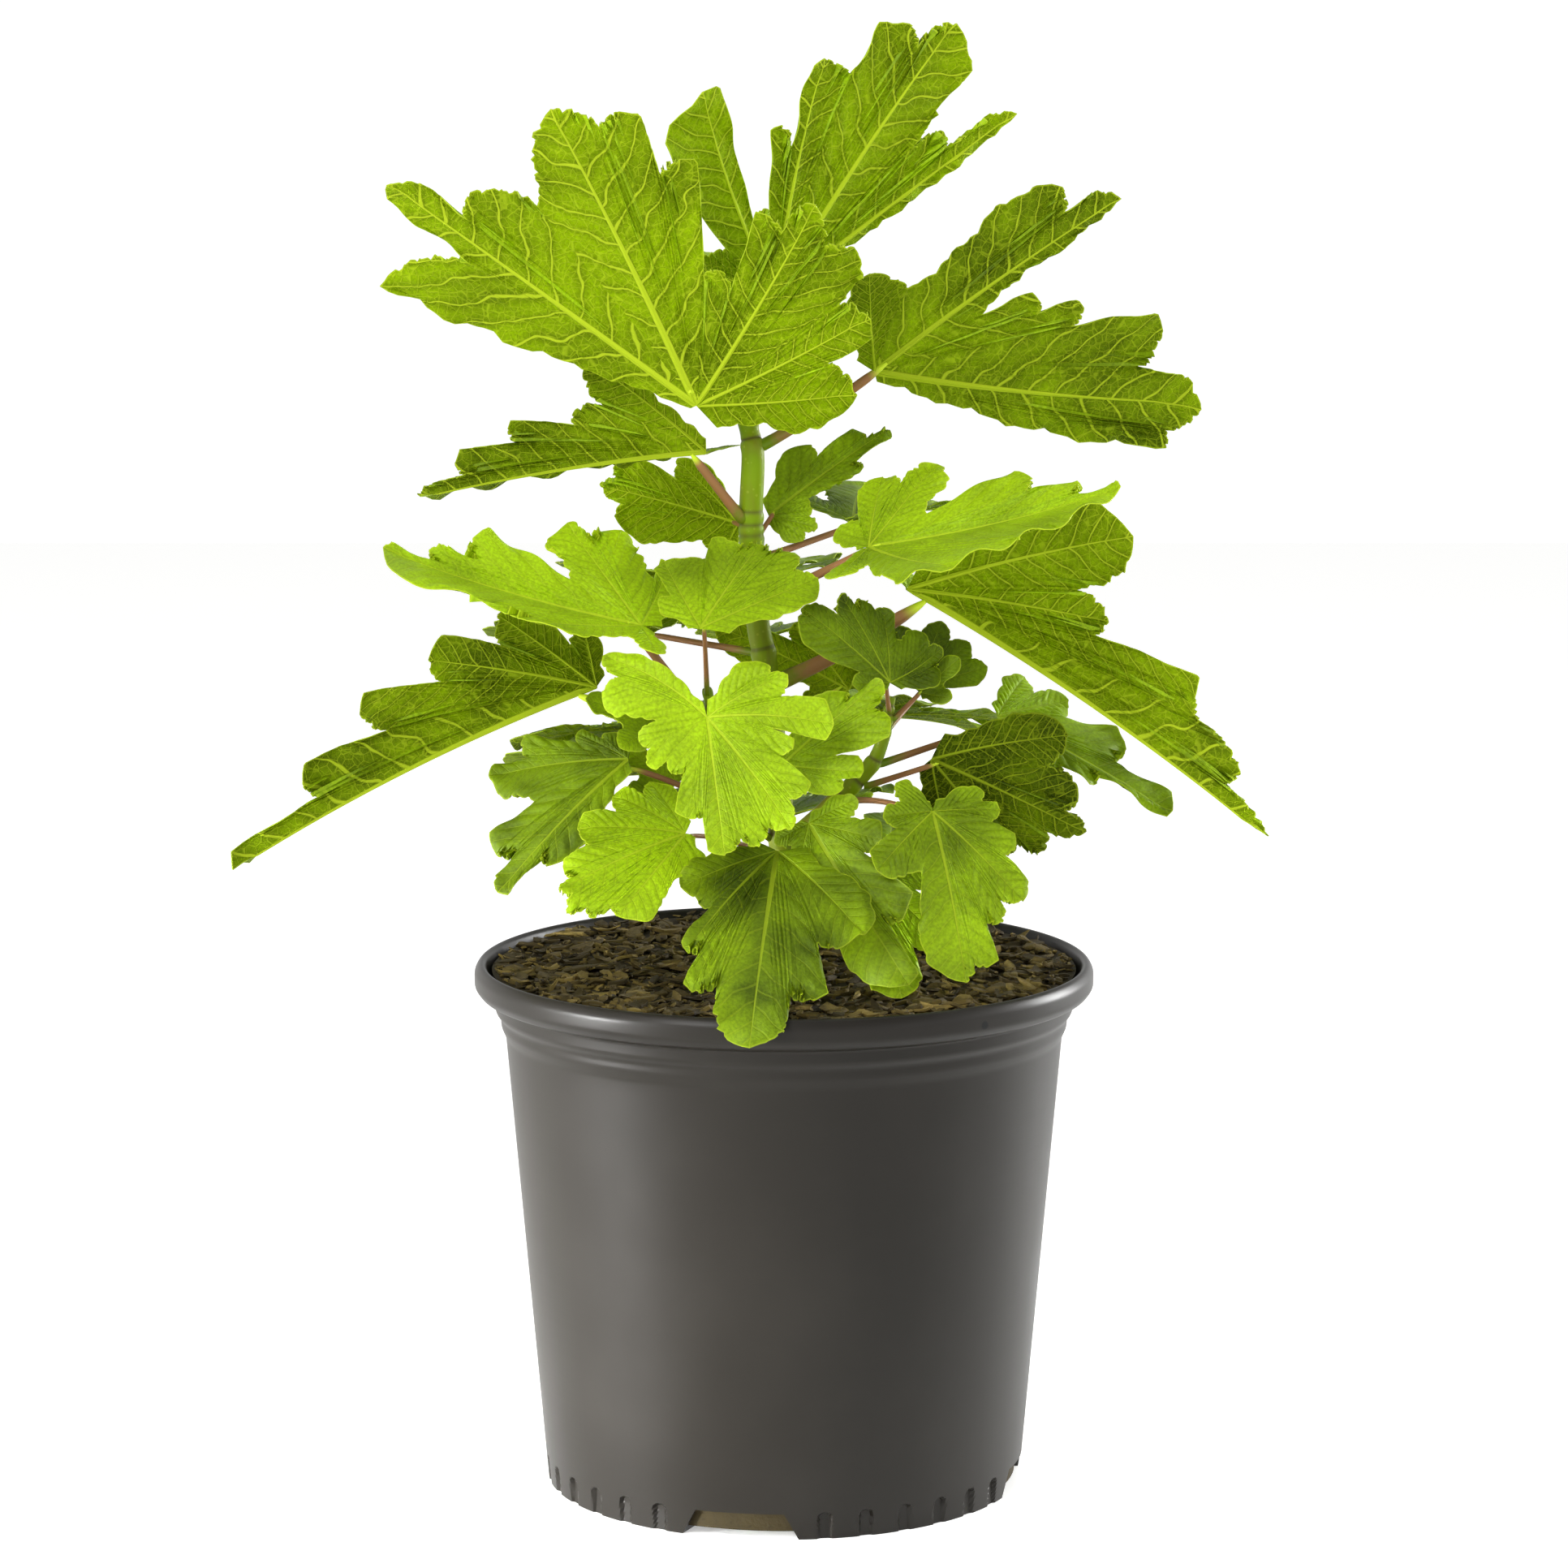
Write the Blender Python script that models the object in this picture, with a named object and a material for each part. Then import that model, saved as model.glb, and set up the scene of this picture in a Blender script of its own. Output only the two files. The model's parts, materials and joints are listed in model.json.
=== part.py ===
"""Fig tree in a nursery pot: pot, soil, stem, side shoots and lobed leaves, one object each."""
from collections import namedtuple
from math import cos, hypot, pi, radians, sin

import bmesh
import bpy
import numpy as np
from mathutils import Vector

MM = 0.001
GAP = 0.3 * MM
WELD = 0.03 * MM

# Nursery pot of about 11 litres, standing on the ground at Z = 0
POT_HEIGHT = 243 * MM
POT_BASE_RADIUS = 109.8 * MM
POT_WALL_TOP_RADIUS = 128 * MM
POT_WALL_TOP = 209 * MM
POT_RIM_RADIUS = 142.2 * MM
POT_WALL = 1.9 * MM
POT_FLOOR = 3 * MM
POT_SEGMENTS = 64
SOIL_TOP = 237 * MM
SOIL_RIM_RADIUS = 135 * MM

# The two steps of the collar under the rolled rim: radius, foot and head of each
STEP_RADIUS = 130.2 * MM
STEP_FOOT = 214 * MM
STEP_HEAD = 218 * MM
COLLAR_RADIUS = 132.8 * MM
COLLAR_FOOT = 221 * MM
COLLAR_HEAD = 227 * MM
COLLAR_INSIDE = (129.4 * MM, 219 * MM)
RIM_UNDERSIDE = (139.6 * MM, 229 * MM)
RIM_FACE_FOOT = 232.5 * MM
RIM_FACE_HEAD = 239 * MM
RIM_SHOULDER = (140.6 * MM, 242 * MM)
RIM_CROWN_RADIUS = 139 * MM
RIM_LIP = (137.2 * MM, 242 * MM)

# Drain slots round the foot of the pot, and the short arched flutes between them
SLOT_COUNT = 4
SLOT_FIRST = radians(-90 - 10.5)
SLOT_HEIGHT = 12 * MM
SLOT_HALF_TOP = radians(10.5)
SLOT_HALF_FOOT = radians(14.5)
SLOT_DEPTH = 13 * MM
FLUTES_BETWEEN = 6
FLUTE_PITCH = radians(10)
FLUTE_FIRST = radians(20)
FLUTE_WIDTH = 6.5 * MM
FLUTE_HEIGHT = 12.5 * MM
FLUTE_DEPTH = 1.1 * MM
FLUTE_ARCH = 4
CUTTER_REACH = 8 * MM
CUTTER_BELOW = 2 * MM
WALL_LEAN_THERE = 0.4 * MM

# Leaf blades and their petioles
BLADE_THICKNESS = 0.018
SMALL_LOBE = 35 * MM
MIDDLING_LOBE = 70 * MM
NARROW_LOBE = 9
NOTCH_REACH = 170
SCALLOP = 0.1
LOBE_WIDTH = 0.2
LOBE_WIDEST = 0.65
TIP_ROUND = 0.75
INNER_START = 0.72
OUTER_START = 0.4
OUTER_NOTCH = 0.22
OUTER_SPREAD = 45
BLADE_REACH = 155
NOTCH_EASE = 0.16
HALFWAY_CLEAR = 0.3
LOBE_ARC = 0.12
VEIN_CROWDING = 1.15
VEIN_THINNING = 0.6

# Where a notch cuts in less than this share of a lobe, the lobe is a mere tooth
TOOTH_NOTCH = 0.85
LOBE_NOTCH = 0.6
TOOTH_POINT = 1.8

PETIOLE_RADIUS = 0.0155
PETIOLE_THINNEST = 1.0 * MM
PETIOLE_FLARE = 1.35
PETIOLE_JOIN = 0.03
PETIOLE_SIDES = 6
PETIOLE_STEPS = 7
LIMB_SIDES = 10

GREEN_LEAF = (0.22, 0.38, 0.01)
GREEN_STEM = (0.25, 0.36, 0.03)
POT_GREY = (0.075, 0.07, 0.062)
BARK_BROWN = (0.07, 0.045, 0.018)

# A limb's way (mm), its radius at each of those points (mm), and the limb it grows from
Limb = namedtuple("Limb", "way radii parent")
LIMBS = {
    "trunk": Limb(
        ((2, 0, 237.3), (1, 0, 245), (-1, 0, 300), (-8, 0, 375), (-12, 0, 400), (-15, 0, 443),
         (-14, 0, 474), (-16, 2, 488), (-18, 4, 505), (-19, 8, 528), (-19, 10, 545)),
        (9.5, 7.4, 6.2, 5.6, 5.3, 5.4, 5.2, 4.3, 4.6, 3.2, 1.0), None),
    "left_shoot": Limb(
        ((-4, -6, 318), (-18, -16, 334), (-30, -22, 352), (-35, -24, 372)),
        (4.0, 3.8, 3.2, 1.8), "trunk"),
    "right_shoot": Limb(
        ((4, -4, 300), (24, -6, 318), (42, -8, 338), (49, -10, 366)),
        (4.2, 3.9, 3.3, 1.8), "trunk"),
    "back_shoot": Limb(
        ((-2, 6, 308), (-6, 26, 326), (-10, 42, 352), (-12, 48, 380)),
        (4.2, 3.8, 3.2, 1.8), "trunk"),
}

# A leaf: where petiole and blade join, and the middle lobe's tip (mm); the way the upper
# face looks; the side lobes' and big teeth's tips as (degrees left of the midrib, share of
# the middle lobe's length, then the right and left half's share of the usual width where
# they aren't 1); the limb it grows from and the height of its node there (mm). Then the
# notches that lie off the rule, as (degrees, share); the fold up along the midrib and the
# droop along it (degrees); how far the petiole bows up as a share of its length; and the
# middle lobe's two shares of the usual width.
Leaf = namedtuple("Leaf", "base tip faces lobes limb node notches fold droop bow middle",
                  defaults=((), 0, 12, 0.0, (1, 1)))
SHOWN_LEAVES = {
    "leaf_top_front": Leaf(
        (-39, -40, 501), (-100, -105, 633), (0.1, 1, 0.35),
        ((-48, 0.94, 0.1, 1), (-30, 1.07, 0.6, 0.6), (-22, 0.88), (10, 0.92), (19, 0.75),
         (29, 0.41), (40, 0.6), (50, 0.68), (64, 0.63), (82, 0.54), (106, 0.45)), "trunk", 497,
        ((-34, 0.75), (-13, 0.74), (6, 0.9), (24, 0.39), (36, 0.35), (91, 0.38)),
        fold=8, droop=15, bow=0.1, middle=(0.5, 1)),
    "leaf_top_back": Leaf(
        (-4, 22, 546), (78, 40, 669), (-0.5, 0.85, 0.3),
        ((-95, 0.3), (-58, 0.72, 1.3, 1.4), (-43, 0.28), (-34, 0.53, 0.6, 0.6),
         (-25, 0.74, 0.5, 1), (-9, 0.92), (16, 0.75, 0.4, 0.6), (23, 0.98, 0.3, 0.15)),
        "trunk", 515,
        ((-29, 0.44), (-16, 0.7), (12, 0.63)), bow=0.05, middle=(1, 0.8)),
    "leaf_upper_right": Leaf(
        (41, 0, 513), (152, 10, 591), (0, 1, 0.5),
        ((-56, 0.34), (-10, 0.87, 0.5, 1), (14, 0.61), (20, 0.75), (30, 1.02),
         (44, 1.18), (52, 1.1, 1, 0.16)), "trunk", 480,
        ((-32, 0.3), (9, 0.41), (24, 0.7), (49, 1.08)), bow=-0.05, middle=(1, 0.15)),
    "leaf_upper_left": Leaf(
        (-35, -16, 478), (-165, -14, 457), (0, 0.75, 0.66),
        ((-90, 0.3), (-49, 0.5), (6, 0.86), (14, 0.68), (21, 0.47), (43, 0.5, 1, 0.4)),
        "trunk", 447,
        ((29, 0.38),), fold=42, middle=(0.8, 1)),
    "leaf_behind_left": Leaf(
        (-21, 40, 440), (-86, 56, 456), (0, 0.9, 0.4),
        ((-66, 0.32), (-12, 0.88), (10, 0.93), (35, 0.6)), "trunk", 441,
        ((-38, 0.31),), fold=-5),
    "leaf_behind_right": Leaf(
        (-7, 16, 446), (49, 40, 484), (0, -0.8, 0.6),
        ((-74, 0.3), (-53, 0.33), (-29, 0.28), (-9, 0.7, 0.2, 1), (5, 0.85), (21, 0.56)), "trunk",
        437, ((-14, 0.27), (-40, 0.26)), middle=(0.7, 0.7)),
    "leaf_middle_left": Leaf(
        (-64, -45, 403), (-178, -60, 439), (0, -0.39, 0.92),
        ((-94, 0.42), (-64, 0.52), (-51, 0.56), (-18, 0.71), (-6, 0.83), (32, 0.5), (95, 0.25)),
        "left_shoot", 356, ((-88, 0.3), (-27, 0.33), (-10, 0.69), (20, 0.6)),
        fold=14, droop=-12, middle=(1, 1.25)),
    "leaf_middle_front": Leaf(
        (-37, -62, 404), (-10, -14, 437), (0, -0.6, 0.8),
        ((-32, 0.97), (-13, 1.06), (16, 0.94), (45, 0.7), (66, 0.4)), "left_shoot", 370,
        ((5, 0.9), (22, 0.72)), bow=0.1),
    "leaf_middle_right": Leaf(
        (38, -34, 437), (148, -78, 468), (0, -0.42, 0.9),
        ((-90, 0.3), (-45, 0.7), (6, 0.83), (18, 0.65), (60, 0.47), (86, 0.42), (118, 0.24)),
        "trunk", 410, ((-24, 0.82), (11, 0.62), (30, 0.25)), fold=14, droop=-12,
        middle=(1.5, 1)),
    "leaf_lower_right": Leaf(
        (56, -6, 415), (218, -35, 305), (0.25, 0.65, 0.7),
        ((-44, 0.52), (-22, 0.46), (-13, 0.7), (-5, 0.87), (49, 0.35), (95, 0.2)), "trunk", 372,
        ((-30, 0.38), (-9, 0.73)), fold=42, bow=-0.05, middle=(1, 1)),
    "leaf_lower_left": Leaf(
        (-85, -12, 371), (-248, -45, 292), (-0.2, 0.7, 0.7),
        ((-50, 0.4), (7, 0.76), (17, 0.58), (31, 0.41), (56, 0.29), (95, 0.15)), "left_shoot", 350,
        ((12, 0.52),), fold=40, droop=15),
    "leaf_centre": Leaf(
        (-34, -76, 366), (-26, -99, 308), (0, -1, 0.35),
        ((-126, 0.85, 0.6, 1), (-108, 0.76), (-72, 0.51), (-54, 0.55), (-36, 0.48), (-18, 0.74),
         (14, 1.0), (29, 1.0), (43, 0.89), (58, 0.65), (78, 0.89), (106, 0.64), (117, 0.57)),
        "left_shoot", 362, ((-85, 0.36), (-9, 0.72), (8, 0.9), (21, 0.89), (51, 0.57),
                            (67, 0.44), (93, 0.53)), droop=20, bow=0.1),
    "leaf_centre_right": Leaf(
        (-1, -58, 342), (44, -50, 379), (0, -0.8, 0.6),
        ((-60, 0.53), (-46, 0.65), (-18, 0.9), (8, 0.75)), "trunk", 322, ((-31, 0.42),)),
    "leaf_low_left": Leaf(
        (-70, -41, 342), (-127, -71, 286), (-0.3, -0.75, 0.6),
        ((-90, 0.21), (-74, 0.33), (-59, 0.6), (-44, 0.75), (-12, 0.86), (9, 0.75, 1, 0.6)),
        "trunk", 300, ((-66, 0.3), (-22, 0.54)), droop=20, bow=0.1),
    "leaf_low_front_left": Leaf(
        (-44, -64, 312), (-99, -98, 292), (-0.1, -0.75, 0.6),
        ((-86, 0.46), (-58, 0.55), (-29, 0.72), (-6, 0.9), (9, 1.06), (16, 0.98), (25, 0.86),
         (60, 0.35)), "trunk", 290, ((-16, 0.67), (20, 0.84), (42, 0.48)), droop=20, bow=0.1),
    "leaf_over_rim": Leaf(
        (-3, -70, 305), (-15, -152, 233), (0, -0.6, 0.8),
        ((-50, 0.45), (-26, 0.65), (-18, 0.81), (17, 0.8), (40, 0.6)), "trunk", 280,
        ((-31, 0.43), (-12, 0.74), (10, 0.76), (22, 0.55)), droop=25, bow=0.2),
    "leaf_low_front": Leaf(
        (11, -66, 317), (55, -104, 251), (-0.3, -0.8, 0.5),
        ((-84, 0.2), (-38, 0.32), (12, 0.72), (40, 0.4), (76, 0.28)), "trunk", 300, bow=0.1),
    "leaf_low_front_right": Leaf(
        (66, -70, 323), (80, -104, 252), (0.2, -0.85, 0.5),
        ((-122, 0.26), (-80, 0.3), (-48, 0.51), (8, 0.94), (20, 0.74), (33, 0.71), (54, 0.5),
         (77, 0.38), (95, 0.31)), "right_shoot", 318, ((-20, 0.38), (25, 0.62), (45, 0.47)),
        droop=20, bow=0.1),
    "leaf_low_centre": Leaf(
        (34, -45, 293), (52, -95, 244), (0, -0.8, 0.6),
        ((-60, 0.4), (-28, 0.6), (25, 0.81), (60, 0.5)), "trunk", 286, droop=20, bow=0.1),
    "leaf_low_right": Leaf(
        (67, -14, 338), (138, -8, 303), (0.1, 0.95, 0.3),
        ((-38, 0.8), (-10, 0.88), (15, 0.88), (25, 0.77), (50, 0.5)), "right_shoot", 325),
    "leaf_right": Leaf(
        (98, 12, 354), (178, 12, 309), (0, -0.5, 0.85),
        ((-24, 0.45), (-8, 0.6), (19, 0.71), (45, 0.45), (76, 0.35)), "right_shoot", 335),
    "leaf_centre_upper_right": Leaf(
        (47.5, -35, 376), (8, -45, 411), (0, -0.7, 0.7),
        ((-122, 0.55), (-108, 0.65), (-90, 0.6), (-51, 0.65), (-36, 0.76), (-24, 0.85),
         (6, 1.0), (40, 0.4)), "right_shoot", 360, ((-44, 0.63), (-64, 0.4)), bow=-0.05),
    "leaf_dark_right": Leaf(
        (64, 26, 366), (94, 27, 375), (0, -0.95, 0.2),
        ((-40, 0.4), (26, 0.95), (57, 1.0), (97, 0.98)), "right_shoot", 350),
    "leaf_behind_stem": Leaf(
        (30, 22, 365), (-32, 30, 394), (0, 0.8, 0.6),
        ((-50, 0.4), (30, 0.6), (86, 0.32)), "back_shoot", 345),
    "leaf_small_left": Leaf(
        (-56, -40, 358), (-89, -48, 370), (0, -0.6, 0.8),
        ((-50, 0.7), (50, 0.8)), "left_shoot", 340),
    "leaf_dark_left": Leaf(
        (-50, -16, 326), (-74, -14, 344), (0, -0.7, 0.7),
        ((-50, 0.8), (50, 0.8)), "left_shoot", 328),
    "leaf_bud_right": Leaf(
        (62, -10, 368), (80, -12, 384), (0, -0.7, 0.7),
        ((-50, 0.7), (50, 0.7)), "right_shoot", 356),
}

# Leaves on the far side: the limb and its node's height (mm), the way they grow out
# (degrees from +X towards +Y), the petiole's length and rise, the blade's length and rise
Far = namedtuple("Far", "limb node azimuth petiole rise length pitch")
FAR_LEAVES = {
    "leaf_far_top": Far("trunk", 512, 140, 45, 40, 100, 12),
    "leaf_far_upper": Far("trunk", 490, 60, 45, 35, 105, 5),
    "leaf_far_middle": Far("trunk", 405, 105, 60, 0, 110, -5),
    "leaf_far_right": Far("trunk", 428, 38, 60, 12, 95, -2),
    "leaf_far_left": Far("trunk", 385, 150, 60, 5, 90, -5),
    "leaf_far_shoot": Far("back_shoot", 372, 95, 40, 10, 100, -8),
    "leaf_far_shoot_left": Far("back_shoot", 340, 150, 50, 0, 95, -15),
    "leaf_far_shoot_right": Far("back_shoot", 350, 35, 60, -5, 100, -15),
    "leaf_far_low": Far("trunk", 288, 92, 55, 12, 90, -5),
    "leaf_far_low_left": Far("trunk", 305, 145, 55, 20, 90, -12),
    "leaf_far_low_right": Far("trunk", 282, 40, 66, 2, 80, -2),
}
FAR_LOBES = ((-92, 0.5), (-46, 0.8), (46, 0.82), (92, 0.48))
FAR_NOTCHES = ((-68, 0.3), (-22, 0.4), (24, 0.42), (70, 0.3))


def clear_scene():
    """Empty the scene, leaving the open file alone."""
    for thing in list(bpy.data.objects):
        bpy.data.objects.remove(thing, do_unlink=True)


def principled(name, colour, roughness):
    """A plain Principled material of one colour."""
    material = bpy.data.materials.new(name)
    material.use_nodes = True
    shader = material.node_tree.nodes["Principled BSDF"]
    shader.inputs["Base Color"].default_value = (*colour, 1)
    shader.inputs["Roughness"].default_value = roughness
    return material


def mesh_object(name, verts, faces, material=None):
    """One object with its mesh, linked to the scene."""
    mesh = bpy.data.meshes.new(name)
    mesh.from_pydata([tuple(v) for v in verts], [], [tuple(f) for f in faces])
    mesh.validate()
    piece = bpy.data.objects.new(name, mesh)
    bpy.context.scene.collection.objects.link(piece)
    if material is not None:
        mesh.materials.append(material)
    return piece


def shade(piece, angle):
    """Smooth shading with edges sharper than the angle kept."""
    piece.data.shade_smooth()
    piece.data.set_sharp_from_angle(angle=radians(angle))


def revolve(profile, segments):
    """Verts and faces of a closed profile (radius, height) turned about Z; ends lie on the axis."""
    ring = profile[1:-1]
    verts = [(0, 0, profile[0][1])]
    for radius, height in ring:
        for k in range(segments):
            turn = 2 * pi * k / segments
            verts.append((radius * cos(turn), radius * sin(turn), height))
    verts.append((0, 0, profile[-1][1]))
    last = len(verts) - 1
    faces = []
    for k in range(segments):
        after = (k + 1) % segments
        faces.append((0, 1 + after, 1 + k))
        for row in range(len(ring) - 1):
            low = 1 + row * segments
            high = low + segments
            faces.append((low + k, low + after, high + after, high + k))
        top = 1 + (len(ring) - 1) * segments
        faces.append((last, top + k, top + after))
    return verts, faces


def wedge(angle_foot, angle_top, near, far, height, arch):
    """A cutter about +X: a prism with sloped sides, its head a straight edge or an arch."""
    below = -CUTTER_BELOW
    outline = [(-angle_foot, below), (angle_foot, below)]
    for k in range(arch + 1):
        turn = pi * k / arch if arch else 0
        if arch:
            outline.append((angle_top * cos(turn), height - angle_top * far * (1 - sin(turn))))
    if not arch:
        outline += [(angle_top, height), (-angle_top, height)]
    verts = []
    for reach in (near, far):
        verts += [(reach * cos(a), reach * sin(a), z) for a, z in outline]
    count = len(outline)
    faces = [tuple(reversed(range(count))), tuple(range(count, 2 * count))]
    for k in range(count):
        after = (k + 1) % count
        faces.append((k, after, count + after, count + k))
    return verts, faces


def foot_cutter():
    """All the drain slots and flutes round the pot's foot, as one cutter."""
    verts = []
    faces = []

    def add(shape, turn):
        start = len(verts)
        for x, y, z in shape[0]:
            verts.append((x * cos(turn) - y * sin(turn), x * sin(turn) + y * cos(turn), z))
        faces.extend(tuple(start + i for i in face) for face in shape[1])

    outside = POT_BASE_RADIUS + CUTTER_REACH
    slot = wedge(SLOT_HALF_FOOT, SLOT_HALF_TOP, POT_BASE_RADIUS - SLOT_DEPTH, outside,
                 SLOT_HEIGHT, 0)
    half = FLUTE_WIDTH / 2 / POT_BASE_RADIUS
    flute = wedge(half, half, POT_BASE_RADIUS + WALL_LEAN_THERE - FLUTE_DEPTH, outside,
                  FLUTE_HEIGHT, FLUTE_ARCH)
    for quarter in range(SLOT_COUNT):
        middle = SLOT_FIRST + quarter * 2 * pi / SLOT_COUNT
        add(slot, middle)
        for k in range(FLUTES_BETWEEN):
            add(flute, middle + FLUTE_FIRST + k * FLUTE_PITCH)
    cutter = mesh_object("foot_cutter", verts, faces)
    cutter.hide_render = True
    cutter.display_type = "WIRE"
    return cutter


def pot_outside():
    """Outer side of the pot from the middle of its foot to the crown of the rolled rim."""
    return [(0, 0), (POT_BASE_RADIUS, 0), (POT_WALL_TOP_RADIUS, POT_WALL_TOP),
            (STEP_RADIUS, STEP_FOOT), (STEP_RADIUS, STEP_HEAD), (COLLAR_RADIUS, COLLAR_FOOT),
            (COLLAR_RADIUS, COLLAR_HEAD), RIM_UNDERSIDE, (POT_RIM_RADIUS, RIM_FACE_FOOT),
            (POT_RIM_RADIUS, RIM_FACE_HEAD), RIM_SHOULDER, (RIM_CROWN_RADIUS, POT_HEIGHT)]


def pot_inside():
    """Inner side of the pot from the rim down to the middle of its floor."""
    slope = (POT_WALL_TOP_RADIUS - POT_BASE_RADIUS) / POT_WALL_TOP
    floor_radius = POT_BASE_RADIUS + slope * POT_FLOOR - POT_WALL
    return [RIM_LIP, (SOIL_RIM_RADIUS + GAP, SOIL_TOP), COLLAR_INSIDE,
            (POT_WALL_TOP_RADIUS - POT_WALL, POT_WALL_TOP), (floor_radius, POT_FLOOR),
            (0, POT_FLOOR)]


def make_pot():
    """Moulded pot: one turned shell, with the slots and flutes cut from its foot."""
    verts, faces = revolve(pot_outside() + pot_inside(), POT_SEGMENTS)
    pot = mesh_object("pot", verts, faces, principled("black_polyethylene", POT_GREY, 0.35))
    cut = pot.modifiers.new("foot", "BOOLEAN")
    cut.operation = "DIFFERENCE"
    cut.solver = "EXACT"
    cut.object = foot_cutter()
    shade(pot, 35)


def make_soil():
    """Bark mix that fills the pot to a little under its rim."""
    slope = (POT_WALL_TOP_RADIUS - POT_BASE_RADIUS) / POT_WALL_TOP
    foot = POT_FLOOR + GAP
    foot_radius = POT_BASE_RADIUS + slope * foot - POT_WALL - 2 * GAP
    side = [(foot_radius, foot), (POT_WALL_TOP_RADIUS - POT_WALL - 2 * GAP, POT_WALL_TOP),
            (COLLAR_INSIDE[0] - 2 * GAP, COLLAR_INSIDE[1]), (SOIL_RIM_RADIUS - GAP, SOIL_TOP)]
    verts, faces = revolve([(0, foot)] + side + [(0, SOIL_TOP)], POT_SEGMENTS)
    shade(mesh_object("soil", verts, faces, principled("bark_mix", BARK_BROWN, 0.95)), 30)


def smooth_way(points, radii, steps):
    """A Catmull-Rom curve through the points, with the radii carried along it."""
    knots = np.column_stack([np.array(points, float), np.array(radii, float)]) * MM
    ends = np.vstack([2 * knots[0] - knots[1], knots, 2 * knots[-1] - knots[-2]])
    rows = []
    for k in range(len(knots) - 1):
        p0, p1, p2, p3 = ends[k:k + 4]
        for step in range(steps):
            t = step / steps
            rows.append(0.5 * (2 * p1 + (p2 - p0) * t + (2 * p0 - 5 * p1 + 4 * p2 - p3) * t * t
                               + (3 * p1 - p0 - 3 * p2 + p3) * t ** 3))
    rows.append(knots[-1])
    rows = np.array(rows)
    return rows[:, :3], rows[:, 3]


def tube(way, radii, sides, first_normal):
    """Verts and faces of a capped tube along a way; its first ring is square to first_normal."""
    verts = []
    faces = []
    normal = Vector(first_normal).normalized()
    across = normal.orthogonal().normalized() if abs(normal.z) > 0.9 else Vector((0, 0, 1))
    count = len(way)
    for k in range(count):
        if k:
            ahead = Vector(way[min(k + 1, count - 1)]) - Vector(way[k - 1])
            turn = normal.rotation_difference(ahead)
            across = (turn @ across).normalized()
            normal = ahead.normalized()
        other = normal.cross(across)
        for side in range(sides):
            angle = 2 * pi * side / sides
            spoke = cos(angle) * across + sin(angle) * other
            verts.append(Vector(way[k]) + float(radii[k]) * spoke)
    faces.append(tuple(reversed(range(sides))))
    faces.append(tuple(range((count - 1) * sides, count * sides)))
    for k in range(count - 1):
        for side in range(sides):
            after = (side + 1) % sides
            low = k * sides
            high = low + sides
            faces.append((low + side, low + after, high + after, high + side))
    return verts, faces


def limb_curve(name):
    """The limb's own smooth centre line and radii, before its foot is set clear of its parent."""
    limb = LIMBS[name]
    return smooth_way(limb.way, limb.radii, 2)


def axis_at(name, height):
    """Centre and radius of a limb at a height above the ground."""
    way, radii = limb_curve(name)
    heights = way[:, 2]
    centre = [np.interp(height, heights, way[:, axis]) for axis in range(3)]
    return Vector(centre), float(np.interp(height, heights, radii))


def clear_start(parent, height, towards, own_radius):
    """The point beside a parent limb where a stalk's flat end stands, GAP clear of the bark."""
    centre, radius = axis_at(parent, height)
    out = Vector((towards.x - centre.x, towards.y - centre.y, 0)).normalized()
    below, _ = axis_at(parent, height - own_radius)
    above, _ = axis_at(parent, height + own_radius)
    lean = (above - below).normalized().dot(out)
    bulge = radius / (1 - lean * lean) ** 0.5
    shift = max((below - centre).dot(out), (above - centre).dot(out), 0)
    return centre + out * (bulge + shift + 1.2 * GAP), out


def make_limb(name):
    """One tapering limb, from a flat foot to its tip."""
    way, radii = limb_curve(name)
    way = [Vector(point) for point in way]
    parent = LIMBS[name].parent
    first_normal = Vector((0, 0, 1))
    if parent:
        start, first_normal = clear_start(parent, way[0].z, way[3], radii[0])
        way = [start] + way[2:]
        radii = [radii[0]] + list(radii[2:])
    verts, faces = tube(way, radii, LIMB_SIDES, first_normal)
    shade(mesh_object(name, verts, faces, principled(name + "_bark", GREEN_STEM, 0.5)), 50)


def lobe_teeth(length, spread):
    """Teeth on each side of a lobe of that length, with that much room beside it (degrees)."""
    if spread < NARROW_LOBE or length < SMALL_LOBE:
        return 1
    return 2 if length < MIDDLING_LOBE else 3


def half_lobe(length, width, sinus_radius, half_gap, teeth, start_width):
    """Foot points on the vein and margin points of half a lobe, in the lobe's own X and Y.

    The margin starts in the notch, swells to the lobe's width past its middle, and rounds
    in to the tip, with shallow scallops on the way. Beside a shallow notch it narrows all
    the way instead, like a tooth. It keeps to its own side of the line halfway to the next
    lobe.
    """
    q = np.linspace(0, 1, 2 * teeth + 1)
    start_x = sinus_radius * cos(half_gap)
    start_y = sinus_radius * sin(half_gap)
    rise = np.clip(q / LOBE_WIDEST, 0, 1)
    swell = start_width + (1 - start_width) * rise * rise * (3 - 2 * rise)
    fall = np.clip((q - LOBE_WIDEST) / (1 - LOBE_WIDEST), 0, 1)
    body = width * swell * (1 - fall ** 2) ** TIP_ROUND
    scallop = 1 + SCALLOP * np.abs(np.sin(pi * teeth * q))
    ease = (start_y - width * start_width) * np.exp(-q / NOTCH_EASE) * (1 - q)
    pointed = start_y * (1 - q ** TOOTH_POINT)
    toothed = np.clip((sinus_radius / length - LOBE_NOTCH) / (TOOTH_NOTCH - LOBE_NOTCH), 0, 1)
    margin_y = (1 - toothed) * (body * scallop + ease) + toothed * pointed
    margin_x = start_x + (length - start_x) * q
    halfway = margin_x * np.tan(half_gap) * (1 - HALFWAY_CLEAR * q)
    return length * q ** VEIN_CROWDING, margin_x, np.minimum(margin_y, halfway)


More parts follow.
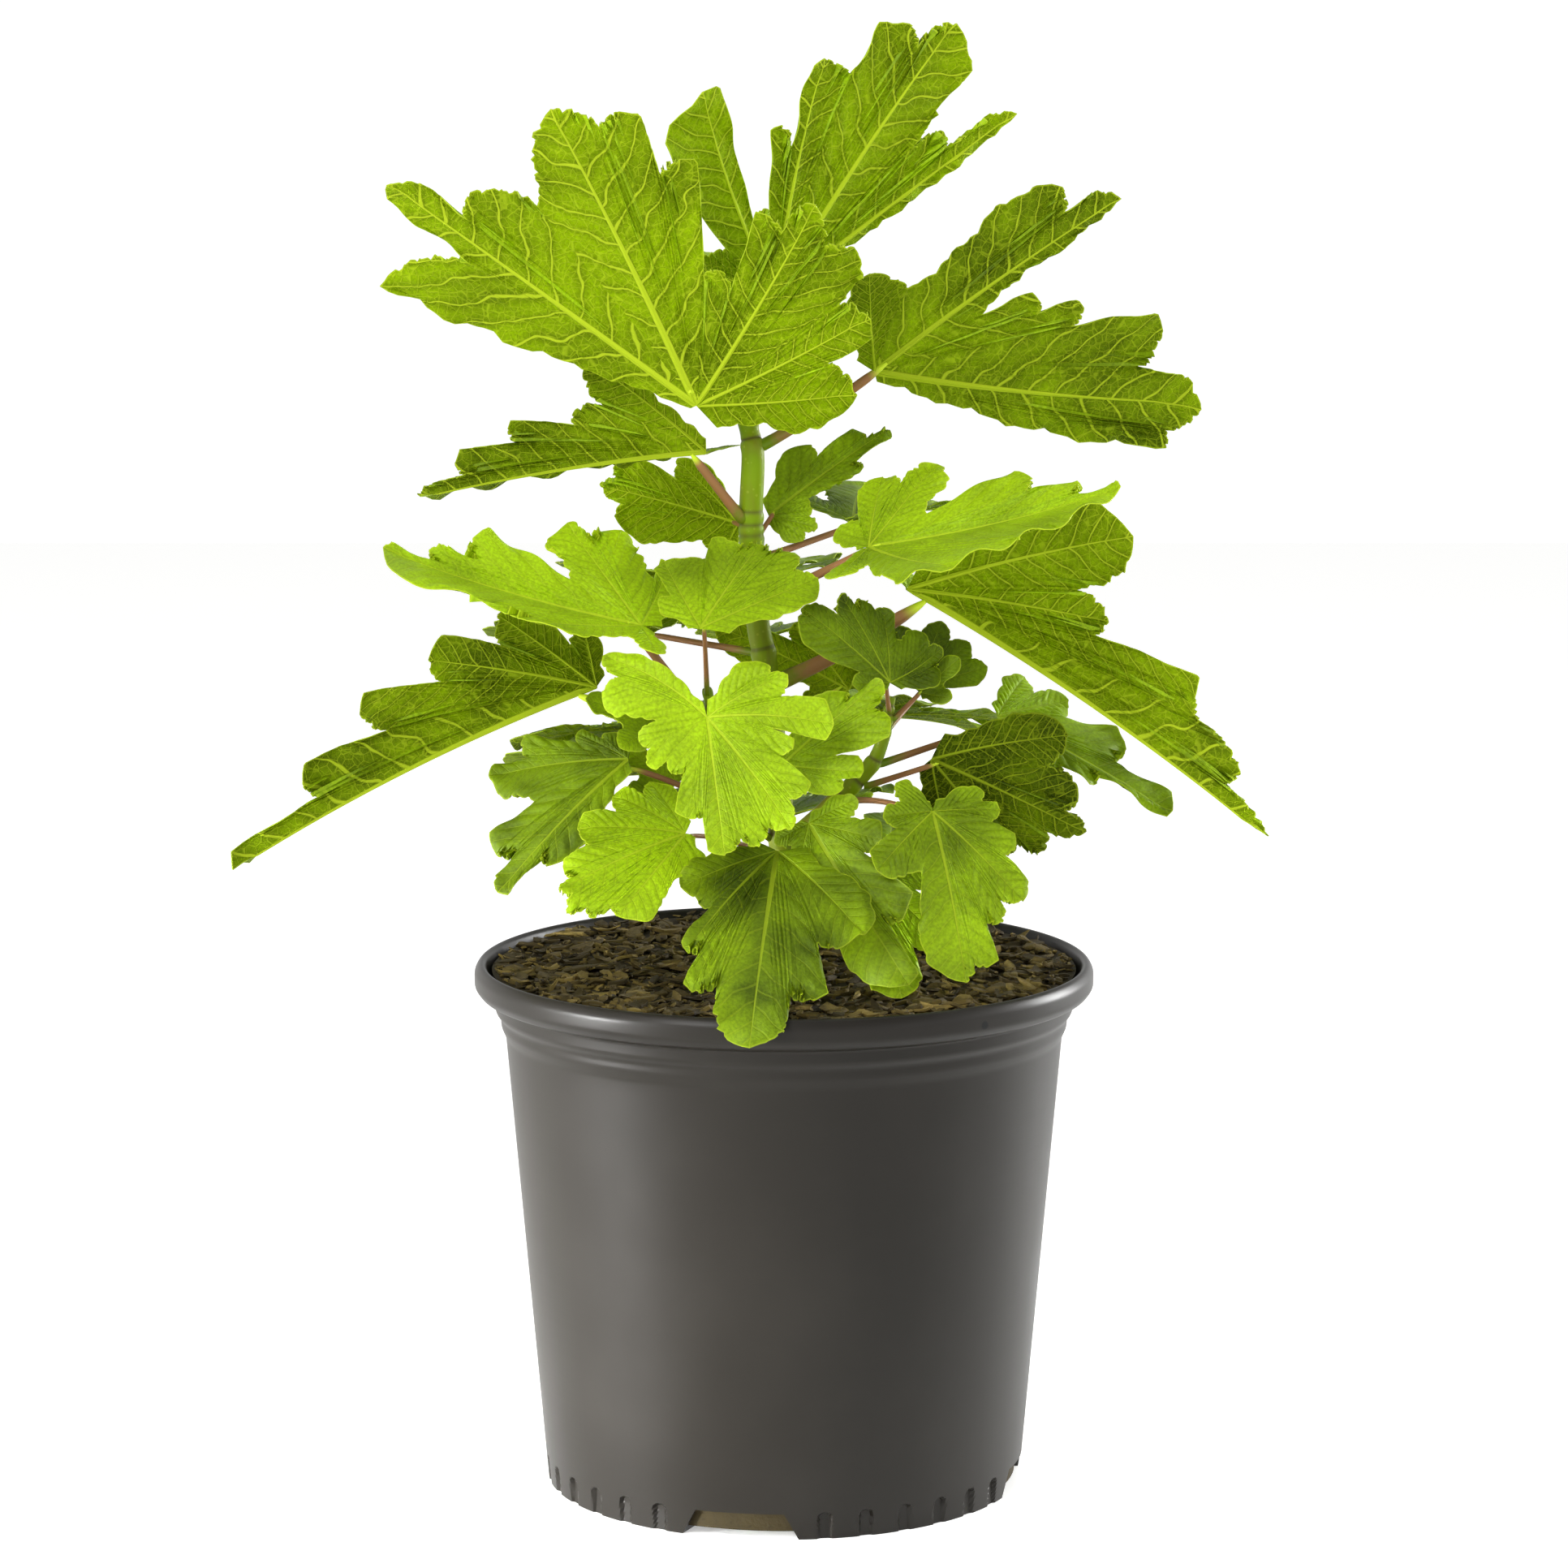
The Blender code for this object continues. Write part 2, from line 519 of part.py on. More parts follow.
def bend(x, y, fold, droop):
    """Carry flat blade points (blade lengths) to the drooping, folded blade.

    Side veins set out wide and turn forward to their lobes' tips. Every vein leaves the
    petiole rising by half the droop and curls down evenly along its length. Each side of
    the midrib is then swung up by the fold.
    """
    reach = np.hypot(x, y)
    angle = np.arctan2(y, x) * (1 + LOBE_ARC * np.clip(1 - reach, 0, 1))
    curl = radians(droop) or 1e-4
    start = curl / 2
    along = (np.sin(start) - np.sin(start - curl * reach)) / curl
    up = (np.cos(start - curl * reach) - np.cos(start)) / curl
    side = along * np.sin(angle)
    swing = radians(fold)
    return np.stack([along * np.cos(angle), side * cos(swing), up + np.abs(side) * sin(swing)], 1)


def place(points, leaf):
    """Set bent blade points between the leaf's base and tip, upper face as the leaf looks."""
    base = Vector(leaf.base) * MM
    chord = Vector(leaf.tip) * MM - base
    forward = chord.normalized()
    looks = Vector(leaf.faces)
    normal = (looks - forward * looks.dot(forward)).normalized()
    side = normal.cross(forward)
    end = bend(np.array([1.0]), np.array([0.0]), leaf.fold, leaf.droop)[0]
    size = hypot(end[0], end[2])
    ahead = (points[:, 0] * end[0] + points[:, 2] * end[2]) / size
    lift = (points[:, 2] * end[0] - points[:, 0] * end[2]) / size
    scale = chord.length / size
    axes = np.array([forward, side, normal])
    return np.array(base) + scale * np.stack([ahead, points[:, 1], lift], 1) @ axes


def notch_between(first, second, notches):
    """Angle and radius of the notch between two lobes: a given one, or by rule.

    By rule it lies halfway, and deeper where the lobes stand further apart.
    """
    for angle, share in notches:
        if first[0] < angle < second[0]:
            return angle, share
    gap = second[0] - first[0]
    return (first[0] + second[0]) / 2, min(first[1], second[1]) * max(0.2, 1 - gap / NOTCH_REACH)


def flat_blade(leaf, length):
    """Flat points, inner weights and triangles of the whole blade, one fan of lobes."""
    lobes = sorted((lobe + (1, 1))[:4] for lobe in leaf.lobes + ((0, 1) + leaf.middle,))
    points = {}
    weights = []
    triangles = []

    def index(x, y, weight):
        key = (round(float(x), 5), round(float(y), 5))
        if key not in points:
            points[key] = len(points)
            weights.append(weight)
        return points[key]

    for k, (angle, size, *shares) in enumerate(lobes):
        turn = radians(angle)
        halves = []
        for hand, beside in ((-1, k - 1), (1, k + 1)):
            width = LOBE_WIDTH * size * shares[hand > 0]
            if 0 <= beside < len(lobes):
                pair = sorted((lobes[k], lobes[beside]))
                between, radius = notch_between(*pair, leaf.notches)
                halves.append((hand, width, radius, abs(between - angle), INNER_START))
            else:
                radius = OUTER_NOTCH * size * min(1, shares[hand > 0])
                spread = min(OUTER_SPREAD, BLADE_REACH - abs(angle))
                halves.append((hand, width, radius, spread, OUTER_START))
        teeth = lobe_teeth(size * length, max(half[3] for half in halves))
        for hand, width, radius, half_gap, start_width in halves:
            foot_x, margin_x, margin_y = half_lobe(size, width, radius, radians(half_gap),
                                                   teeth, start_width)
            feet = []
            edge = []
            for fx, mx, my in zip(foot_x, margin_x, hand * margin_y):
                on_vein = (fx * cos(turn), fx * sin(turn))
                on_edge = (mx * cos(turn) - my * sin(turn), mx * sin(turn) + my * cos(turn))
                at_tip = fx == foot_x[-1]
                feet.append(index(*on_vein, 0 if at_tip else 1 - VEIN_THINNING * fx / size))
                edge.append(feet[-1] if at_tip else index(*on_edge, 0))
            for step in range(len(feet) - 1):
                near, far = (feet[step], feet[step + 1]), (edge[step], edge[step + 1])
                pieces = [(near[0], near[1], far[1]), (near[0], far[1], far[0])]
                for piece in pieces:
                    if len(set(piece)) == 3:
                        triangles.append(piece if hand > 0 else piece[::-1])
    return np.array(list(points), float), np.array(weights), triangles


def blade_normals(points, triangles):
    """Area-weighted normals of the blade's middle surface."""
    normals = np.zeros_like(points)
    for a, b, c in triangles:
        face = np.cross(points[b] - points[a], points[c] - points[a])
        for corner in (a, b, c):
            normals[corner] += face
    return normals / np.linalg.norm(normals, axis=1, keepdims=True)


def blade_shape(leaf):
    """Closed blade, thick along its veins and thin at its margin."""
    length = (Vector(leaf.tip) - Vector(leaf.base)).length * MM
    flat, weights, triangles = flat_blade(leaf, length)
    middle = place(bend(flat[:, 0], flat[:, 1], leaf.fold, leaf.droop), leaf)
    offset = blade_normals(middle, triangles) * (weights * BLADE_THICKNESS * length / 2)[:, None]
    inner = [k for k in range(len(flat)) if weights[k] > 0]
    under = {k: len(flat) + n for n, k in enumerate(inner)}
    verts = list(middle + offset) + list((middle - offset)[inner])
    faces = list(triangles)
    faces += [tuple(under.get(k, k) for k in reversed(face)) for face in triangles]
    sides = {}
    for face in triangles:
        for k in range(3):
            sides[(face[k], face[(k + 1) % 3])] = True
    for first, second in sides:
        lone = (second, first) not in sides
        if lone and (first in under or second in under):
            if first in under:
                faces.append((second, first, under[first]))
            else:
                faces.append((second, first, under[second]))
    return verts, faces


def petiole_shape(leaf):
    """Closed petiole from its node on the limb to a little way along the midrib."""
    base = Vector(leaf.base) * MM
    chord = Vector(leaf.tip) * MM - base
    length = chord.length
    end_radius = max(PETIOLE_THINNEST, PETIOLE_RADIUS * length)
    start_radius = end_radius * PETIOLE_FLARE
    start, out = clear_start(leaf.limb, leaf.node * MM, base, start_radius)
    end = base + chord * PETIOLE_JOIN
    span = (end - start).length
    middle = (start + end) / 2 + Vector((0, 0, leaf.bow * span))
    way = []
    radii = []
    for k in range(PETIOLE_STEPS + 1):
        t = k / PETIOLE_STEPS
        way.append(start * (1 - t) ** 2 + middle * 2 * t * (1 - t) + end * t * t)
        radii.append(end_radius + (start_radius - end_radius) * (1 - t) ** 2)
    return tube(way, radii, PETIOLE_SIDES, out)


def far_leaf(far):
    """A leaf of the far side from its own few sizes: it reaches straight out, face up."""
    turn = radians(far.azimuth)
    centre, _ = axis_at(far.limb, far.node * MM)
    out = Vector((cos(turn), sin(turn), 0))
    rise = radians(far.rise)
    pitch = radians(far.pitch)
    up = Vector((0, 0, 1))
    base = centre / MM + far.petiole * (cos(rise) * out + sin(rise) * up)
    tip = base + far.length * (cos(pitch) * out + sin(pitch) * up)
    return Leaf(tuple(base), tuple(tip), (0, 0, 1), FAR_LOBES, far.limb, far.node, FAR_NOTCHES,
                fold=8, droop=25)


def make_leaf(name, leaf):
    """One leaf: its blade and petiole joined into one solid."""
    green = principled(name + "_green", GREEN_LEAF, 0.45)
    blade = mesh_object(name, *blade_shape(leaf), green)
    petiole = mesh_object("petiole", *petiole_shape(leaf))
    join = blade.modifiers.new("petiole", "BOOLEAN")
    join.operation = "UNION"
    join.solver = "EXACT"
    join.object = petiole
    bpy.context.view_layer.update()
    depsgraph = bpy.context.evaluated_depsgraph_get()
    joined = bpy.data.meshes.new_from_object(blade.evaluated_get(depsgraph))
    weld = bmesh.new()
    weld.from_mesh(joined)
    bmesh.ops.remove_doubles(weld, verts=weld.verts, dist=WELD)
    weld.to_mesh(joined)
    weld.free()
    blade.modifiers.clear()
    blade.data = joined
    bpy.data.objects.remove(petiole, do_unlink=True)
    shade(blade, 40)


def main():
    """Build the whole plant in its pot."""
    clear_scene()
    make_pot()
    make_soil()
    for name in LIMBS:
        make_limb(name)
    for name, leaf in SHOWN_LEAVES.items():
        make_leaf(name, leaf)
    for name, far in FAR_LEAVES.items():
        make_leaf(name, far_leaf(far))


main()
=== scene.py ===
import json
from collections import namedtuple
from math import cos, hypot, radians, sin

import bpy
import numpy as np
from bpy.props import FloatProperty, FloatVectorProperty, IntProperty, PointerProperty
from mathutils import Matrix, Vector

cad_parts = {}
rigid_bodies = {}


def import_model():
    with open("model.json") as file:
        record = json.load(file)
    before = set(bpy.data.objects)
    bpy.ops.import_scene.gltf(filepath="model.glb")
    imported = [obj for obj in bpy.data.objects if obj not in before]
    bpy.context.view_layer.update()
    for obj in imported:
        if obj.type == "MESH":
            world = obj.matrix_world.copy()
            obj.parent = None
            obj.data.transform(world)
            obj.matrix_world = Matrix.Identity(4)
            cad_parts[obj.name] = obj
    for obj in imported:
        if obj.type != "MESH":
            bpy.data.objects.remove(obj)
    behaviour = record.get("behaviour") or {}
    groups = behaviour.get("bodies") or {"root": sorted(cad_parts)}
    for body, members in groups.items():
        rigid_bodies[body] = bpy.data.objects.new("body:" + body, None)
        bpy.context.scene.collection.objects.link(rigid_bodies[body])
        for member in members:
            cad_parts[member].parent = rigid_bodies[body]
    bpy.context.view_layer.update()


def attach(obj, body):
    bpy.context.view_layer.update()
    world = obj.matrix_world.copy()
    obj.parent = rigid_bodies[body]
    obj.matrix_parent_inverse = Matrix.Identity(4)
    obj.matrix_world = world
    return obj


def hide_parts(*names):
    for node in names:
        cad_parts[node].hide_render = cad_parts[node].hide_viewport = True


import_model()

bl_info = {
    "name": "Potted Fig Tree",
    "version": (1, 0, 0),
    "blender": (4, 5, 0),
    "location": "View3D > Sidebar > Fig Tree",
    "description": "Builds a young fig tree in a nursery pot over its packed solids",
    "category": "Add Mesh",
}

MM = 0.001
GAP = 0.3 * MM
STALK_CLEAR = 1.2 * GAP

# The patterns on leaves and chips are laid out in centimetres
PATTERN_UNIT = 10 * MM

# Points of a surface that fall on one step of this many to the metre are one point
WELD_STEPS = 1e7

# The leaves' proportions, as their solids have them
SMALL_LOBE = 35 * MM
MIDDLING_LOBE = 70 * MM
NARROW_LOBE = 9
NOTCH_REACH = 170
SCALLOP = 0.1
LOBE_WIDTH = 0.2
LOBE_WIDEST = 0.65
TIP_ROUND = 0.75
INNER_START = 0.72
OUTER_START = 0.4
OUTER_NOTCH = 0.22
OUTER_SPREAD = 45
BLADE_REACH = 155
NOTCH_EASE = 0.16
HALFWAY_CLEAR = 0.3
LOBE_ARC = 0.12
VEIN_CROWDING = 1.15
TOOTH_NOTCH = 0.85
LOBE_NOTCH = 0.6
TOOTH_POINT = 1.8
PETIOLE_RADIUS = 0.0155
PETIOLE_THINNEST = 1.0 * MM
PETIOLE_FLARE = 1.35
STRAIGHT_CURL = 1e-4

# A petiole's tube: points round it, rings along it, how deep it starts inside the limb, how
# far it runs into the blade (a share of the blade), and the share of its way where it thins
PETIOLE_SIDES = 12
PETIOLE_RINGS = 26
PETIOLE_BURIED = 2 * MM
PETIOLE_INTO_BLADE = 0.05
PETIOLE_FADE = 0.2

# Grid of half a lobe: columns along it, and rows from its vein to the margin
COLUMNS = 32
ROWS = np.array([0, 0.05, 0.11, 0.2, 0.32, 0.46, 0.61, 0.76, 0.9, 1.0])

# A blade has up to five main veins, to the longest lobes that lie this far apart (degrees).
# Side veins leave them with this lean and curve, this share of their length apart. A main
# vein's rib loses this share of its height by its tip and has this share of it in the next
# row; on a leaf it has at least this share of its full height, and more with the length.
MAIN_VEINS = 5
VEIN_APART = 22
VEIN_LEAN = 0.8
VEIN_CURVE = 0.45
VEIN_SPACING = 0.088
RIB_TAPER = 0.8
RIB_SHOULDER = 0.35
RIB_LEAST = 0.35
RIB_GROWTH = 200 * MM

# The margin's small teeth, which the solids leave out: their pitch, their greatest depth as a
# share of the blade, how unequal they are and how soon that changes, how far they lean, and
# the shares of the margin over which they fade at a lobe's start and tip
TOOTH_PITCH = 12.5 * MM
TOOTH_LIMIT = 0.016
TOOTH_UNEQUAL = 0.4
TOOTH_BEAT = 2.1
TOOTH_LEAN = 0.4
TOOTH_FADE_START = 0.12
TOOTH_FADE_END = 0.1

# The blade's waves, as shares of its length: how far in they reach, where they begin and over
# how much they grow, and how they slant round the blade; then the length of one wave. The
# bulges between veins fade over a share of it at a vein and at the margin. A leaf as long as
# the last value has both in full.
RUFFLE_REACH = 0.05
RUFFLE_START = 0.25
RUFFLE_RISE = 0.3
RUFFLE_SLANT = 0.7
RUFFLE_WAVE = 32 * MM
QUILT_EDGE = 0.04
FULL_RELIEF = 90 * MM

# A stem's tube: points round it, rings from one of its limb's points to the next, how many
# times finer it is then cut, and how deep a side limb is buried and how much its foot swells
STEM_SIDES = 40
STEM_STEPS = 12
STEM_FINER = 2
SHOOT_FINER = 3
SHOOT_BURIED = 2.5 * MM
SHOOT_SWELL = (1.25, 1.12)

# Its nodes (mm): half length of the swelling, place and half length of the scar above it, and
# the scar's depth as a share of the swelling. Then the faint ridges round it: how many, how
# high as a share of its radius, and how far they wind from end to end (radians).
NODE_HALF = 2.6
SCAR_ABOVE = 2.4
SCAR_HALF = 0.7
SCAR_SHARE = 0.6
RIDGE_COUNT = 3
RIDGE_DEPTH = 0.012
RIDGE_TWIST = 40

# The pot's section, as (radius, height) in mm: outside from the foot up, then inside down;
# its foot's radius, lean, wall and floor, the rings in the floor's middle, and how far its
# corners are cut back and in how many points they are rounded
POT_CORNERS = ((128, 209), (130.2, 214), (130.2, 218), (132.8, 221), (132.8, 227), (139.6, 229),
               (142.2, 232.5), (142.2, 239), (140.6, 242), (139, 243), (137.2, 242),
               (135.3, 237), (129.4, 219), (126.1, 209))
POT_FOOT = 109.8
POT_LEAN = (POT_CORNERS[0][0] - POT_FOOT) / POT_CORNERS[0][1]
POT_WALL = 1.9
POT_FLOOR = 3
POT_MIDDLE_RINGS = [0, 40, 80]
POT_ROUNDING = 1.4
POT_ROUND_STEPS = 5

# The black pip on its rim: place, radius and width of its blurred edge (m)
GATE_MARK = (0.0882, -0.1115, 0.2345)
GATE_RADIUS = 1.5 * MM
GATE_BLUR = 0.7 * MM

# The potting mix's side from its top down, as (radius, height) in mm
SOIL_SIDE = ((134.2, 236), (128.8, 219), (125.4, 209), (107.4, 3.4))

# Drain slots and flutes round the pot's foot (mm and degrees), how gradually a flute ends at
# its sides (a share of its half width) and at its top, and the columns that draw them
SLOT_FIRST = -100.5
SLOT_TOP = 12
SLOT_HALF = (14.5, 10.5)
SLOT_BELOW = 2
SLOT_REACH = 96.8
FLUTE_FIRST = 20
FLUTE_STEP = 10
FLUTE_COUNT = 6
FLUTE_HALF = 3.25
FLUTE_TOP = 12.5
FLUTE_RADIUS = 108.7
FLUTE_EDGE = 0.3
FLUTE_SILL = 0.8
SLOT_COLUMNS = 18
WALL_COLUMNS = 132
FOOT_ROWS = 20
FLOOR_ROWS = 4

# The mulch: how far it is banked up at the wall, the bed's rings and points round it, and its
# lumps (height, and radians to the metre). Then the chips: their points round, their outline
# as rings of (share of the reach, share of the thickness), and the turn from one to the next.
BANK = 3.5 * MM
BED_RINGS = 40
BED_SIDES = 120
LUMP = 1 * MM
LUMP_TURNS = (330, 290)
CHIP_SIDES = 7
CHIP_RINGS = ((0, -0.5), (0.95, -0.4), (1.0, 0.3), (0.8, 0.5), (0, 0.5))
SUNFLOWER_TURN = 2.39996
CHIP_SEED = 7

# The stage: half the floor's side, the camera's place, its tilt down (degrees) and its lens
# (mm), and the softboxes as (name, place, point they look at, width, height, watts, degrees
# of beam)
FLOOR_HALF = 4
CAMERA_AT = (0, -2.34, 0.69)
CAMERA_TILT = 8.88
CAMERA_LENS = 118.8
SOFTBOXES = (
    ("key_light", (-1.2, -1.7, 1.7), (0, 0, 0.4), 0.8, 0.8, 27, 180),
    ("fill_light", (1.9, -1.3, 1.0), (0, 0, 0.35), 1.6, 1.6, 5, 180),
    ("top_light", (0.2, 0.6, 2.4), (0, 0, 0.3), 1.5, 1.5, 12, 180),
    ("strip_light", (-1.45, -0.5, 0.2), (0, 0, 0.07), 0.3, 0.3, 1.7, 20),
    ("edge_light", (1.6, 0.8, 0.5), (0, 0, 0.12), 0.3, 0.8, 2.5, 40),
)

# A limb's way (mm), its radius at each of those points (mm), and the limb it grows from
Limb = namedtuple("Limb", "way radii parent")
LIMBS = {
    "trunk": Limb(
        ((2, 0, 237.3), (1, 0, 245), (-1, 0, 300), (-8, 0, 375), (-12, 0, 400), (-15, 0, 443),
         (-14, 0, 474), (-16, 2, 488), (-18, 4, 505), (-19, 8, 528), (-19, 10, 545)),
        (9.5, 7.4, 6.2, 5.6, 5.3, 5.4, 5.2, 4.3, 4.6, 3.2, 1.0), None),
    "left_shoot": Limb(
        ((-4, -6, 318), (-18, -16, 334), (-30, -22, 352), (-35, -24, 372)),
        (4.0, 3.8, 3.2, 1.8), "trunk"),
    "right_shoot": Limb(
        ((4, -4, 300), (24, -6, 318), (42, -8, 338), (49, -10, 366)),
        (4.2, 3.9, 3.3, 1.8), "trunk"),
    "back_shoot": Limb(
        ((-2, 6, 308), (-6, 26, 326), (-10, 42, 352), (-12, 48, 380)),
        (4.2, 3.8, 3.2, 1.8), "trunk"),
}

